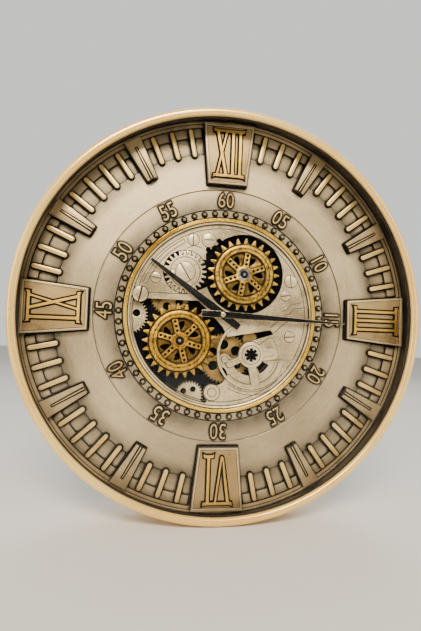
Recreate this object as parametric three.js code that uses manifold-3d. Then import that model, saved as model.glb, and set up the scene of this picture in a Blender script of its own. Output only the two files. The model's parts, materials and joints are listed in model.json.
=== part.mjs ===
// Round wall clock, 600 mm across, with two gear wheels turning in a cut-out movement plate.
// Millimetres. Each sub-part is drawn as seen from the front: x to the right, y up, z from the
// wall to the viewer, with the hands' axis at x = y = 0. The last groups stand the clock up,
// so that it faces -Y with +Z up, and put the origin where the wall's screw carries the keyhole.
import * as THREE from 'three';
import { mergeVertices } from 'three/addons/utils/BufferGeometryUtils.js';
import Module from 'manifold-3d';

const wasm = await Module();
wasm.setup();

// Fits
const GAP = 0.3;
const ROUND = 32;
const TURN = Math.PI * 2;

// Heights above the wall
const PANEL_BACK = 2.3;
const PANEL_FRONT = 5.3;
const TRAY_BACK = 20.5;
const TRAY_FLOOR = 23;
const FLANGE_BACK = 29;
const FLANGE_FRONT = 31.7;
const PLATE_BACK = 32;
const PLATE_FRONT = 34;
const TRACK_TOP = 34.5;
const FIELD = 36;
const SUNK = 33;
const BATON_TOP = 41;
const MARKER_TOP = 46.5;
const CASE_FRONT = 60;
const GLASS_BACK = 66.3;
const GLASS_FRONT = 69.3;
const RIM_FRONT = 79;

// Radii
const CASE_OUTER = 300;
const WALL_OUTER = 299;
const WALL_INNER = 297.8;
const BORE = 297.5;
const BACK_OPENING = 270;
const BORDER_INNER = 291.5;
const LEDGE_INNER = 286.3;
const STRIP_INNER = 272;
const SUNK_INNER = 244.5;
const FIELD_INNER = 191;
const TRACK_INNER = 160.6;
const BEADS_INNER = 147.6;
const OPEN_RADIUS = 134.3;
const PLATE_RADIUS = 137.4;

// Dial markers
const BATON_INNER = 241;
const BATON_OUTER = 283.5;
const BATON_WIDTH = 7;
const PLATE_EDGE = 196.5;
const WEDGE_EDGE = 225.5;
const BEAD_COUNT = 60;
const BEAD_CIRCLE = 153.9;

// Gear wheels that turn
const UPPER_GEAR = { x: 33, y: 63.4, strap: 80.8, tooth: 87.5 };
const LOWER_GEAR = { x: -62.3, y: -41.4, strap: 105.4, tooth: 94.1 };
const GEAR_TEETH = 25;
const GEAR_TIP = 56;
const GEAR_ROOT = 47.8;
const GEAR_BORE = 34;
const GEAR_BACK = 28.5;
const GEAR_THICK = 3.4;
const STRAPS = 6;
const STRAP_WIDTH = 8.5;
const LEAF_LAG = 16.6;

// Fixed wheels and the balance
const SILVER_WHEEL = { x: -57.9, y: 62.3 };
const BALANCE = { x: 47.4, y: -59.4 };
const BALANCE_HUB = 19.6;
const BALANCE_RIM = 52.8;

// Hands, at a quarter past ten
const HOUR_ANGLE = 305.5;
const MINUTE_ANGLE = 92;
const HOUR_LENGTH = 135;
const MINUTE_LENGTH = 193;
const TAIL = 32;
const HOUR_BACK = 40.2;
const MINUTE_BACK = 43.2;

// Drive, movement and fittings behind the dial
const DRIVE_BACK = 8;
const DRIVE_FRONT = 20.2;
const DRIVE_ELBOW = { x: -55, y: 55 };
const DRIVE_RADIUS = 20;
const MOVEMENT_SIDE = 56;
const MOVEMENT_BACK = 4.2;
const BATTERY_BOX = { x: -101, y: 10, width: 34, height: 62 };
const CELL_RADIUS = 7.1;
const CELL_LENGTH = 49;
const HANGER = { y: 240, width: 56, height: 34 };
const KEYHOLE = { entry: 235, entryRadius: 5.5, seat: 248, neckRadius: 2.75 };

const radians = (degrees) => (degrees * Math.PI) / 180;

function standard(color, roughness, metalness) {
  return new THREE.MeshStandardMaterial({ color, roughness, metalness });
}

const looks = {
  champagne: () => standard(0xcdb79a, 0.42, 0.6),
  dial: () => standard(0xb7a78c, 0.45, 0.7),
  gold: () => standard(0xb08a45, 0.4, 0.85),
  silver: () => standard(0xcfc4ad, 0.4, 0.7),
  steel: () => standard(0xb9b6b0, 0.3, 0.9),
  brass: () => standard(0xc09a4a, 0.35, 0.9),
  black: () => standard(0x14151a, 0.6, 0.1),
  lacquer: () => standard(0x0d0c0b, 0.3, 0.2),
  darkWall: () => standard(0x2b241c, 0.5, 0.4),
  board: () => standard(0x201d1a, 0.85, 0),
  cell: () => standard(0x2d4d6b, 0.4, 0.3),
  rubber: () => standard(0x161616, 0.9, 0),
  glass: () => new THREE.MeshStandardMaterial({
    color: 0xe8f0f0, roughness: 0.05, metalness: 0, transparent: true, opacity: 0.2,
  }),
};

const clock = new THREE.Group();
clock.rotation.x = Math.PI / 2;

function place(name, geometry, material) {
  const mesh = new THREE.Mesh(geometry, material);
  mesh.name = name;
  clock.add(mesh);
  return mesh;
}

// Solids from three.js geometry, and back

function toSolid(geometry) {
  const bare = geometry.clone();
  bare.deleteAttribute('normal');
  bare.deleteAttribute('uv');
  const merged = mergeVertices(bare, 1e-3);
  const corners = merged.index.array;
  const triVerts = [];
  for (let i = 0; i < corners.length; i += 3) {
    const [a, b, c] = corners.slice(i, i + 3);
    if (a !== b && b !== c && c !== a) {
      triVerts.push(a, b, c);
    }
  }
  return new wasm.Manifold(new wasm.Mesh({
    numProp: 3,
    vertProperties: new Float32Array(merged.attributes.position.array),
    triVerts: new Uint32Array(triVerts),
  }));
}

function toGeometry(solid) {
  const mesh = solid.getMesh();
  const geometry = new THREE.BufferGeometry();
  geometry.setAttribute('position', new THREE.BufferAttribute(mesh.vertProperties, 3));
  geometry.setIndex(new THREE.BufferAttribute(mesh.triVerts, 1));
  const flat = geometry.toNonIndexed();
  flat.computeVertexNormals();
  return flat;
}

function joined(geometries) {
  return geometries.map(toSolid).reduce((sum, solid) => sum.add(solid));
}

function cut(solid, geometries) {
  return geometries.map(toSolid).reduce((rest, tool) => rest.subtract(tool), solid);
}

// Ring or disc turned about the hands' axis; the profile's [radius, height] pairs run
// anticlockwise and close on themselves, or start and end on the axis.
function turned(profile, segments = ROUND) {
  const points = profile.map(([radius, height]) => new THREE.Vector2(radius, height));
  if (profile[0][0] > 0) {
    points.push(points[0].clone());
  }
  return new THREE.LatheGeometry(points, segments).rotateX(Math.PI / 2);
}

function slab(shape, back, front, curveSegments = 10) {
  return new THREE.ExtrudeGeometry(shape, { depth: front - back, bevelEnabled: false, curveSegments })
    .translate(0, 0, back);
}

function outline(points) {
  return new THREE.Shape(points.map(([x, y]) => new THREE.Vector2(x, y)));
}

function disc(x, y, radius) {
  return new THREE.Shape().absarc(x, y, radius, 0, TURN);
}

function post(x, y, radius, back, front, sides = 16) {
  return slab(disc(x, y, radius), back, front, sides / 2);
}

function box(x, y, width, height, back, front) {
  return new THREE.BoxGeometry(width, height, front - back).translate(x, y, (back + front) / 2);
}

function tube(x, y, outer, inner, back, front, sides = 20) {
  const ring = disc(x, y, outer);
  ring.holes.push(disc(x, y, inner));
  return slab(ring, back, front, sides / 2);
}

// Point at a distance from a centre, along an angle counted anticlockwise from +x
function polar(centre, radius, degrees) {
  const angle = radians(degrees);
  return [centre.x + radius * Math.cos(angle), centre.y + radius * Math.sin(angle)];
}

// Turns a shape drawn with its outer end up to its place on the dial
function toHour(geometry, clockwise) {
  return geometry.rotateZ(-radians(clockwise));
}

// A stroke of given width between two points
function stroke(x0, y0, x1, y1, width) {
  const along = new THREE.Vector2(x1 - x0, y1 - y0).normalize();
  const [dx, dy] = [(-along.y * width) / 2, (along.x * width) / 2];
  return outline([[x0 - dx, y0 - dy], [x1 - dx, y1 - dy], [x1 + dx, y1 + dy], [x0 + dx, y0 + dy]]);
}

function toothedOutline(centre, teeth, tip, root, tipHalf, rootHalf, firstTooth) {
  const points = [];
  for (let i = 0; i < teeth; i += 1) {
    const middle = firstTooth + (i * 360) / teeth;
    points.push(polar(centre, root, middle - rootHalf));
    points.push(polar(centre, tip, middle - tipHalf));
    points.push(polar(centre, tip, middle + tipHalf));
    points.push(polar(centre, root, middle + rootHalf));
  }
  return outline(points);
}

// Part of a ring between two angles
function ringSector(centre, inner, outer, start, end) {
  const sector = new THREE.Shape();
  sector.absarc(centre.x, centre.y, outer, radians(start), radians(end));
  sector.absarc(centre.x, centre.y, inner, radians(end), radians(start), true);
  return sector;
}

// Fine triangular teeth, one point at each tip and one at each root
function fineTeeth(centre, teeth, tip, root) {
  const points = [];
  for (let i = 0; i < teeth * 2; i += 1) {
    points.push(polar(centre, i % 2 ? root : tip, (i * 180) / teeth));
  }
  return outline(points);
}

// Case

function makeCase() {
  place('case_wall', turned([
    [WALL_INNER, 0], [WALL_OUTER, 0], [WALL_OUTER, CASE_FRONT], [WALL_INNER, CASE_FRONT],
  ]), looks.champagne());
  const flange = PANEL_BACK - GAP;
  place('back_flange', turned([
    [BACK_OPENING, 0], [BORE, 0], [BORE, flange], [BACK_OPENING, flange],
  ]), looks.champagne());
}

function makeRim() {
  const lip = 286.8;
  const seat = GLASS_FRONT + 1.6;
  place('front_rim', turned([
    [WALL_INNER, CASE_FRONT + GAP], [CASE_OUTER, CASE_FRONT + GAP], [CASE_OUTER, 71],
    [298.6, 76], [295.4, RIM_FRONT - 0.5], [292.7, RIM_FRONT], [289.6, 78.2], [lip, 75], [lip, seat],
    [WALL_INNER, seat],
  ]), looks.champagne());
}

function makeGlass() {
  place('glass_pane', turned([
    [0, GLASS_BACK], [296, GLASS_BACK], [296, GLASS_FRONT], [0, GLASS_FRONT],
  ]), looks.glass());
}

function makeInnerWall() {
  place('inner_wall_ring', turned([
    [296, 39.3], [BORE, 39.3], [BORE, GLASS_BACK - GAP], [294.4, GLASS_BACK - GAP],
  ]), looks.darkWall());
}

// Blocks between the back panel and the dial's edge
function makeSpacerBlocks() {
  for (let i = 0; i < 4; i += 1) {
    const block = box(0, 286, 50, 14, PANEL_FRONT + GAP, FLANGE_BACK - GAP);
    place(`spacer_block_${i + 1}`, toHour(block, 45 + i * 90), looks.board());
  }
}

// Dial

function makeDialPlate() {
  place('dial_plate', turned([
    [OPEN_RADIUS, FLANGE_BACK], [BORE - GAP, FLANGE_BACK], [BORE - GAP, SUNK], [SUNK_INNER, SUNK],
    [SUNK_INNER, FIELD], [FIELD_INNER, FIELD], [FIELD_INNER, TRACK_TOP], [TRACK_INNER, TRACK_TOP],
    [TRACK_INNER, FLANGE_FRONT], [OPEN_RADIUS, FLANGE_FRONT],
  ]), looks.dial());
}

function batonShape() {
  const half = BATON_WIDTH / 2;
  const outerEnd = [15, 90, 165].map((angle) => polar({ x: 0, y: BATON_OUTER - half }, half, angle));
  const innerEnd = [195, 270, 345].map((angle) => polar({ x: 0, y: BATON_INNER + half }, half, angle));
  return outline([...outerEnd, ...innerEnd]);
}

// Minutes that carry no baton: the hours, and the minutes beside 12, 3, 6 and 9
function isBatonMinute(minute) {
  const fromQuarter = minute % 15;
  return minute % 5 !== 0 && fromQuarter !== 1 && fromQuarter !== 14;
}

// A strip in the floor of the trays from one hour plate to the next, with its nine batons standing on
// it and reaching over the field's edge
function makeBatonRows() {
  const plateHalfAngle = 8.6;
  const strip = toSolid(turned([
    [STRIP_INNER, SUNK + GAP], [LEDGE_INNER - GAP, SUNK + GAP],
    [LEDGE_INNER - GAP, FIELD + 2 * GAP], [STRIP_INNER, FIELD + 2 * GAP],
  ]));
  for (let quarter = 0; quarter < 4; quarter += 1) {
    const reach = [plateHalfAngle, 45, 90 - plateHalfAngle]
      .map((angle) => polar({ x: 0, y: 0 }, 2 * CASE_OUTER, 90 - angle - quarter * 90));
    let row = strip.intersect(toSolid(slab(outline([[0, 0], ...reach]), 0, BATON_TOP)));
    for (let minute = quarter * 15; minute < (quarter + 1) * 15; minute += 1) {
      if (isBatonMinute(minute)) {
        row = row.add(toSolid(toHour(slab(batonShape(), FIELD + GAP, BATON_TOP, 2), minute * 6)));
      }
    }
    place(`baton_row_${quarter + 1}`, toGeometry(row), looks.gold());
  }
}

// Border with the eight wedges and the four hour plates, each keyed into its tray
function makeChapterRing() {
  const back = FIELD + 3 * GAP;
  const pieces = [turned([
    [LEDGE_INNER, SUNK + GAP], [BORE - GAP, SUNK + GAP], [BORE - GAP, 39], [BORDER_INNER, 39],
    [BORDER_INNER, 37.6], [LEDGE_INNER, 37.6],
  ])];
  const wedge = outline([[-7.7, WEDGE_EDGE], [7.7, WEDGE_EDGE], [12.8, 290], [-12.8, 290]]);
  const ridge = outline([[-2.6, WEDGE_EDGE], [2.6, WEDGE_EDGE], [0, 280]]);
  const plate = outline([[-29.5, PLATE_EDGE], [29.5, PLATE_EDGE], [38.8, 289], [-38.8, 289]]);
  for (let hour = 0; hour < 12; hour += 1) {
    const clockwise = hour * 30;
    if (hour % 3 === 0) {
      pieces.push(toHour(slab(plate, back, MARKER_TOP), clockwise));
      pieces.push(toHour(box(0, 257, 68, 23, SUNK + GAP, back + 1), clockwise));
    } else {
      pieces.push(toHour(slab(wedge, back, MARKER_TOP - 1.2), clockwise));
      pieces.push(toHour(slab(ridge, MARKER_TOP - 2, MARKER_TOP), clockwise));
      pieces.push(toHour(box(0, 257, 16, 23, SUNK + GAP, back + 1), clockwise));
    }
  }
  place('chapter_ring', toGeometry(joined(pieces)), looks.dial());
}

// Roman numerals: strokes between two serif bars, tops outward

const NUMERAL_INNER = 207;
const NUMERAL_OUTER = 279;
const SERIF = 5;
const THICK = 5;
const THIN = 3.6;

function upright(u) {
  return stroke(u, NUMERAL_INNER, u, NUMERAL_OUTER, THICK);
}

function serif(left, right, v) {
  return stroke(left, v, right, v, SERIF);
}

function crossed(left, right) {
  const inset = SERIF / 2;
  return [
    stroke(left, NUMERAL_OUTER - inset, right, NUMERAL_INNER + inset, THICK),
    stroke(right, NUMERAL_OUTER - inset, left, NUMERAL_INNER + inset, THIN),
  ];
}

function makeNumerals() {
  const inner = NUMERAL_INNER + SERIF / 2;
  const outer = NUMERAL_OUTER - SERIF / 2;
  const numerals = [
    { name: 'numeral_12', clockwise: 0, strokes: [
      serif(-25, 25, inner), serif(-25, 25, outer), ...crossed(-20, -5), upright(7), upright(18.5)] },
    { name: 'numeral_3', clockwise: 90, strokes: [
      serif(-23, 23, inner), serif(-23, 23, outer), upright(-15), upright(0), upright(15)] },
    { name: 'numeral_6', clockwise: 180, strokes: [
      serif(-23, 23, outer), serif(8, 23, inner), upright(15.5),
      stroke(-17, outer, -6.5, NUMERAL_INNER + 2, THICK), stroke(3, outer, -6.5, NUMERAL_INNER + 2, THIN)] },
    { name: 'numeral_9', clockwise: 270, strokes: [
      serif(-23, 25, inner), serif(-23, 25, outer), upright(-16), ...crossed(-2, 20)] },
  ];
  for (const { name, clockwise, strokes } of numerals) {
    const bars = strokes.map((shape) => slab(shape, MARKER_TOP + GAP, MARKER_TOP + 2.6));
    place(name, toGeometry(joined(bars.map((bar) => toHour(bar, clockwise)))), looks.gold());
  }
}

function makeBeadRing() {
  const top = FIELD - 0.6;
  const pieces = [turned([
    [BEADS_INNER, PLATE_BACK], [TRACK_INNER - GAP, PLATE_BACK], [TRACK_INNER - GAP, top],
    [BEADS_INNER, top],
  ])];
  for (let i = 0; i < BEAD_COUNT; i += 1) {
    const bead = new THREE.CylinderGeometry(1.8, 3.8, 4, 4).rotateX(Math.PI / 2);
    pieces.push(toHour(bead.translate(0, BEAD_CIRCLE, top + 1.5), (i * 360) / BEAD_COUNT));
  }
  place('bead_ring', toGeometry(joined(pieces)), looks.dial());
}

function makeBezel() {
  place('gold_bezel', turned([
    [PLATE_RADIUS + GAP, PLATE_BACK], [BEADS_INNER - GAP, PLATE_BACK], [BEADS_INNER - GAP, 37.8],
    [BEADS_INNER - 1.2, 38.5], [138.7, 38.5], [PLATE_RADIUS + GAP, 37.5],
  ]), looks.gold());
}

// Movement plate: a disc with the gear windows

function windowTools() {
  const back = PLATE_BACK - 2;
  const front = PLATE_FRONT + 4;
  const upper = disc(UPPER_GEAR.x, UPPER_GEAR.y, 61.5);
  const wheel = disc(SILVER_WHEEL.x, SILVER_WHEEL.y, 33.5);
  const between = outline([
    [-41.8, 33], [-25.3, 40.6], [-12, 62], [-8, 104], [-17, 107], [-20, 99], [-28, 92], [-27, 82], [-40, 84],
  ]);
  const left = outline([
    [-133, 19.8], [-36, 19.8], [-11.8, -4], [2.3, -18.2], [10.1, -33], [77, -20.5], [82.3, -26.8],
    [40.9, -40.5], [33, -46], [29.5, -50.6], [27.7, -59.4], [29, -65.6], [16.3, -65.6], [12, -60.5],
    [6.6, -58.6], [1.5, -60.6], [-3.2, -66], [-1, -78], [7, -80.5], [11, -86], [11.5, -91], [8.2, -96.4],
    [7, -100.5], [0, -106], [-8, -107], [-18, -106.2], [-23, -111.7], [-24.2, -117.3], [-22.5, -124],
    [-20.9, -132.6], [-62, -119.5], [-91, -99], [-113, -73], [-128, -41], [-134, -10],
  ]);
  const sectors = [[215, 268], [297, 333]]
    .map(([start, end]) => ringSector(BALANCE, BALANCE_HUB - 2, 32, start, end));
  const lumps = [[-7.7, 112.2], [-24.2, 97.9]].map(([x, y]) => post(x, y, 4.2, back, front, 8));
  const centre = post(0, 0, 5, back, front, 12);
  return [
    ...[upper, wheel].map((shape) => slab(shape, back, front, 11)),
    ...[between, left, ...sectors].map((shape) => slab(shape, back, front, 4)),
    centre,
    ...lumps,
  ];
}

function makeMovementPlate() {
  const base = slab(disc(0, 0, PLATE_RADIUS), PLATE_BACK, PLATE_FRONT, ROUND / 2);
  place('movement_plate', toGeometry(cut(toSolid(base), windowTools())), looks.silver());
}

// Large slotted screw at the edge of the left opening
function makeBigScrew() {
  const head = toSolid(post(-123.3, 25.9, 11.2, PLATE_FRONT + GAP, PLATE_FRONT + 2.8, 14));
  const slot = box(0, 0, 30, 2.2, PLATE_FRONT + 1.6, PLATE_FRONT + 4).rotateZ(radians(78));
  place('large_screw', toGeometry(head.subtract(toSolid(slot.translate(-123.3, 25.9, 0)))), looks.silver());
}

function makeBalance() {
  const { x, y } = BALANCE;
  const back = PLATE_FRONT + GAP;
  const low = PLATE_FRONT + 1.4;
  const high = PLATE_FRONT + 2.2;
  const pieces = [
    slab(ringSector(BALANCE, 49.4, BALANCE_RIM, 106, 224), back, low, 7),
    slab(ringSector(BALANCE, 45, BALANCE_RIM, 222, 352), back, low, 8),
    tube(x, y, BALANCE_HUB, 7, back, PLATE_FRONT + 2.6, 18),
    slab(stroke(15, -73.9, 38, -63, 9), back, high),
    post(15, -73.9, 5.5, back, high, 10),
    slab(outline([[42.5, -74], [54.5, -74], [62.2, -104], [49.6, -107.5]]), back, high),
    slab(outline([
      [56, -45], [62, -42.7], [76, -34], [81, -38], [88.5, -54], [91, -61], [87.6, -64.7], [60, -70],
    ]), back, low),
    slab(stroke(56, -57.8, 79, -53.2, 11.5), low - 0.5, high),
  ];
  const solid = joined(pieces);
  const splines = [0, 45, 90, 135].map((angle) => box(0, 0, 18.4, 3.1, back - 1, PLATE_FRONT + 4)
    .rotateZ(radians(angle))
    .translate(x, y, 0));
  place('balance_wheel', toGeometry(cut(solid, splines)), looks.silver());
}

function makeSilverWheel() {
  const { x, y } = SILVER_WHEEL;
  const wheel = slab(toothedOutline(SILVER_WHEEL, 24, 32, 25.5, 2.2, 4.4, 3), PLATE_BACK, PLATE_FRONT + 0.8);
  const shelves = [[28, 103], [213, 300]].map(([start, end]) => (
    slab(ringSector(SILVER_WHEEL, 20, 33.1, start, end), PLATE_BACK, PLATE_BACK + 1, 4)));
  const screw = post(x, y, 14.6, PLATE_FRONT, PLATE_FRONT + 2, 16);
  const slot = box(0, 0, 34, 1.8, PLATE_FRONT + 1, PLATE_FRONT + 4)
    .rotateZ(radians(-57))
    .translate(x, y, 0);
  const stud = post(x, y, 6, TRAY_FLOOR + GAP, PLATE_BACK + 0.5, 8);
  const solid = cut(joined([wheel, ...shelves, screw, stud]), [slot]);
  place('silver_wheel', toGeometry(solid), looks.silver());
}

// Fixed wheels on the floor of the tray, seen through the openings

function roundHoles(centre, circle, radius, count, first) {
  return Array.from({ length: count }, (unused, i) => {
    const [x, y] = polar(centre, circle, first + (i * 360) / count);
    return disc(x, y, radius);
  });
}

function makeUnderWheels() {
  const back = TRAY_FLOOR + GAP;
  const wheels = [
    { name: 'under_wheel_centre', centre: { x: 7.7, y: -66 }, teeth: 30, tip: 38.5, root: 35.3,
      holes: [20.8, 7.4, 6, 34], height: 2.6, look: looks.gold() },
    { name: 'under_wheel_left', centre: { x: -79, y: 26.4 }, teeth: 26, tip: 30.5, root: 27.6,
      holes: [17, 6, 5, 40], height: 2.6, look: looks.gold() },
    { name: 'under_wheel_bottom', centre: { x: -45, y: -122.5 }, teeth: 20, tip: 22, root: 18.6,
      holes: [10.5, 4.4, 4, 55], height: 4.4, look: looks.silver() },
    { name: 'under_wheel_side', centre: { x: -139, y: -6 }, teeth: 24, tip: 28.3, root: 24.8,
      holes: [12, 5.6, 4, 19], height: 4.4, look: looks.silver() },
  ];
  const well = toSolid(slab(disc(0, 0, 136.6), back - 1, back + 9, ROUND / 2));
  for (const { name, centre, teeth, tip, root, holes, height, look } of wheels) {
    const shape = fineTeeth(centre, teeth, tip, root);
    const [circle, radius, count, first] = holes;
    shape.holes.push(...roundHoles(centre, circle, radius, count, first));
    const wheel = toSolid(slab(shape, back, back + height, 3));
    place(name, toGeometry(wheel.intersect(well)), look);
  }
}

// Turning gear: toothed wheel with leaf openings, six perforated straps and a steel pin

function leaf(centre, degrees) {
  const [x, y] = polar(centre, 22.3, degrees);
  return new THREE.Shape().absellipse(x, y, 9, 5.4, 0, TURN, false, radians(degrees - 38));
}

function makeGearWheel(name, gear) {
  const wheel = toothedOutline(gear, GEAR_TEETH, GEAR_TIP, GEAR_ROOT, 0.8, 4.3, gear.tooth);
  wheel.holes.push(disc(gear.x, gear.y, 3));
  for (let i = 0; i < STRAPS; i += 1) {
    wheel.holes.push(leaf(gear, gear.strap - LEAF_LAG + (i * 360) / STRAPS));
  }
  const band = tube(gear.x, gear.y, 45, GEAR_BORE, GEAR_BACK + GEAR_THICK - 1, GEAR_BACK + 6.8, 20);
  const solid = joined([slab(wheel, GEAR_BACK, GEAR_BACK + GEAR_THICK, 4), band]);
  place(`${name}_wheel`, toGeometry(solid), looks.gold());
}

function makeGearStraps(name, gear) {
  const back = GEAR_BACK + GEAR_THICK + GAP;
  const front = back + 2.4;
  const points = [];
  const holes = [disc(gear.x, gear.y, 2.9)];
  for (let i = 0; i < STRAPS; i += 1) {
    const angle = gear.strap + (i * 360) / STRAPS;
    for (const [reach, side] of [[12.5, -1], [33.3, -1], [33.3, 1], [12.5, 1]]) {
      const spread = (Math.asin(STRAP_WIDTH / 2 / reach) * 180) / Math.PI;
      points.push(polar(gear, reach, angle + side * spread));
    }
    holes.push(...[15, 22.2, 29.5].map((reach) => disc(...polar(gear, reach, angle), 2.2)));
  }
  const spider = outline(points);
  spider.holes.push(...holes);
  const collar = tube(gear.x, gear.y, 8.5, 5.7, front - 0.5, front + 1, 10);
  place(`${name}_straps`, toGeometry(joined([slab(spider, back, front, 3), collar])), looks.gold());
}

function makeGearPin(name, gear) {
  place(`${name}_pin`, post(gear.x, gear.y, 2.2, DRIVE_FRONT - 6, GEAR_BACK + 7, 12), looks.steel());
}

// Hands on their pipes

function handShape(length, tailHalf, hubHalf, tipHalf, hole) {
  const shape = outline([
    [-tailHalf, -TAIL], [tailHalf, -TAIL], [hubHalf, 0], [hubHalf, length * 0.2], [tipHalf, length],
    [-tipHalf, length], [-hubHalf, length * 0.2], [-hubHalf, 0],
  ]);
  shape.holes.push(disc(0, 0, hole));
  return shape;
}

function makeHands() {
  const pipe = tube(0, 0, 3.1, 2.1, TRAY_BACK, HOUR_BACK + 2.2, 12);
  place('hour_pipe', pipe, looks.steel());
  const hour = slab(handShape(HOUR_LENGTH, 5.4, 6.4, 2.4, 3.4), HOUR_BACK, HOUR_BACK + 1.4);
  place('hour_hand', toHour(hour, HOUR_ANGLE), looks.lacquer());
  place('minute_arbor', post(0, 0, 1.6, TRAY_BACK, 45.8, 12), looks.steel());
  const minute = slab(handShape(MINUTE_LENGTH, 5, 4.9, 1.2, 1.9), MINUTE_BACK, MINUTE_BACK + 1.4);
  place('minute_hand', toHour(minute, MINUTE_ANGLE), looks.lacquer());
  const cap = turned([[1.9, 44.9], [3.8, 44.9], [3.8, 46.2], [3, 46.9], [0, 47], [0, 46.1], [1.9, 46.1]], 10);
  place('hand_cap', cap, looks.brass());
}

// Bush and nut that hold the movement behind the tray and the plate in front
function makeBush() {
  place('centre_bush', tube(0, 0, 4.6, 3.4, DRIVE_FRONT + GAP, 39, 12), looks.brass());
  const nut = outline([0, 60, 120, 180, 240, 300].map((angle) => polar({ x: 0, y: 0 }, 7.6, angle)));
  nut.holes.push(disc(0, 0, 4.9));
  place('hex_nut', slab(nut, PLATE_FRONT + GAP, PLATE_FRONT + 2.8, 6), looks.brass());
}

// Tray behind the movement plate, painted black inside
function makeTray() {
  const tray = toSolid(turned([
    [0, TRAY_BACK], [140, TRAY_BACK], [140, FLANGE_BACK - GAP], [137.2, FLANGE_BACK - GAP],
    [137.2, TRAY_FLOOR], [0, TRAY_FLOOR],
  ]));
  const holes = [{ x: 0, y: 0, radius: 4.9 }, { ...UPPER_GEAR, radius: 3 }, { ...LOWER_GEAR, radius: 3 }]
    .map(({ x, y, radius }) => post(x, y, radius, TRAY_BACK - 1, TRAY_FLOOR + 1, 10));
  place('tray', toGeometry(cut(tray, holes)), looks.black());
}

// Pillars that carry the movement plate on the tray
function makePillars() {
  const spots = [[-95, 84], [20, -122], [118, -10], [-12, 126]];
  spots.forEach(([x, y], i) => {
    place(`pillar_${i + 1}`, post(x, y, 4, TRAY_FLOOR + GAP, PLATE_BACK - GAP, 8), looks.black());
  });
}

// Movement that drives the hands: plastic case open at the back for its cell, and setting knob
function makeHandsMovement() {
  const bayY = -17;
  const side = MOVEMENT_SIDE;
  const body = toSolid(box(0, 0, side, side, MOVEMENT_BACK, DRIVE_FRONT));
  const bayWidth = 2 * CELL_RADIUS + 1.4;
  const cellBay = box(0, bayY, CELL_LENGTH + 2.4, bayWidth, MOVEMENT_BACK - 1, DRIVE_FRONT - 1.4);
  const knobWell = post(0, 9, 10, MOVEMENT_BACK - 1, MOVEMENT_BACK + 2.2, 16);
  const stem = post(0, 9, 2.6, MOVEMENT_BACK, MOVEMENT_BACK + 6, 10);
  const holes = [post(0, 0, 4.9, DRIVE_FRONT - 1, DRIVE_FRONT + 1, 12)];
  place('hands_movement', toGeometry(cut(body, [cellBay, knobWell, stem, ...holes])), looks.black());
  place('movement_cell', cell(0, bayY, 'x'), looks.cell());
  const knob = toothedOutline({ x: 0, y: 9 }, 9, 9, 8, 7, 13, 0);
  const knobSolid = joined([
    slab(knob, MOVEMENT_BACK - 1, MOVEMENT_BACK + 1.8, 6),
    post(0, 9, 2.2, MOVEMENT_BACK + 1, MOVEMENT_BACK + 5.6, 10),
  ]);
  place('setting_knob', toGeometry(knobSolid), looks.steel());
}

// AA cell lying along x or y, with its contact button
function cell(x, y, along) {
  const level = DRIVE_FRONT - 2 - CELL_RADIUS;
  const profile = [[0, -CELL_LENGTH / 2], [CELL_RADIUS, -CELL_LENGTH / 2], [CELL_RADIUS, CELL_LENGTH / 2 - 1],
    [2.6, CELL_LENGTH / 2 - 1], [2.6, CELL_LENGTH / 2], [0, CELL_LENGTH / 2]];
  const geometry = turned(profile, 9).rotateX(-Math.PI / 2);
  if (along === 'x') {
    geometry.rotateZ(-Math.PI / 2);
  }
  return geometry.translate(x, y, level);
}

// Closed case of the train that turns both gear wheels, with its motor, box and switch
function makeDrive() {
  const { x, y } = DRIVE_ELBOW;
  const parts = [
    post(LOWER_GEAR.x, LOWER_GEAR.y, DRIVE_RADIUS, DRIVE_BACK, DRIVE_FRONT),
    post(x, y, DRIVE_RADIUS, DRIVE_BACK, DRIVE_FRONT),
    post(UPPER_GEAR.x, UPPER_GEAR.y, DRIVE_RADIUS, DRIVE_BACK, DRIVE_FRONT),
    slab(stroke(LOWER_GEAR.x, LOWER_GEAR.y, x, y, DRIVE_RADIUS * 2), DRIVE_BACK, DRIVE_FRONT),
    slab(stroke(x, y, UPPER_GEAR.x, UPPER_GEAR.y, DRIVE_RADIUS * 2), DRIVE_BACK, DRIVE_FRONT),
    box(-74, 10, 19, 26, DRIVE_BACK + 1, DRIVE_FRONT - 1),
  ];
  const holes = [UPPER_GEAR, LOWER_GEAR].map((gear) => (
    post(gear.x, gear.y, 2.8, DRIVE_FRONT - 6.5, DRIVE_FRONT + 1, 12)));
  const switchWell = box(x, y + 4, 13, 5.6, DRIVE_BACK - 1, DRIVE_BACK + 1.6);
  place('gear_drive_case', toGeometry(cut(joined(parts), [...holes, switchWell])), looks.black());
  place('switch_slider', box(x - 2.5, y + 4, 6, 4.8, DRIVE_BACK - 1.4, DRIVE_BACK + 1.3), looks.steel());
}

function makeDriveBatteries() {
  const { x, y, width, height } = BATTERY_BOX;
  const wall = 1.5;
  const shell = toSolid(box(x, y, width, height, MOVEMENT_BACK, DRIVE_FRONT));
  const inside = box(x, y, width - 2 * wall, height - 2 * wall, MOVEMENT_BACK - 1, DRIVE_FRONT - wall);
  place('battery_box', toGeometry(shell.subtract(toSolid(inside))), looks.black());
  [-1, 1].forEach((side, i) => {
    place(`drive_cell_${i + 1}`, cell(x + side * (CELL_RADIUS + 0.3), y, 'y'), looks.cell());
  });
  const lid = joined([
    box(x, y, width, height, MOVEMENT_BACK - GAP - 1.5, MOVEMENT_BACK - GAP),
    box(x, y - height / 2 + 6, width / 2, 1.6, MOVEMENT_BACK - GAP - 2.2, MOVEMENT_BACK - GAP - 1),
  ]);
  place('battery_lid', toGeometry(lid), looks.black());
}

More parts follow.
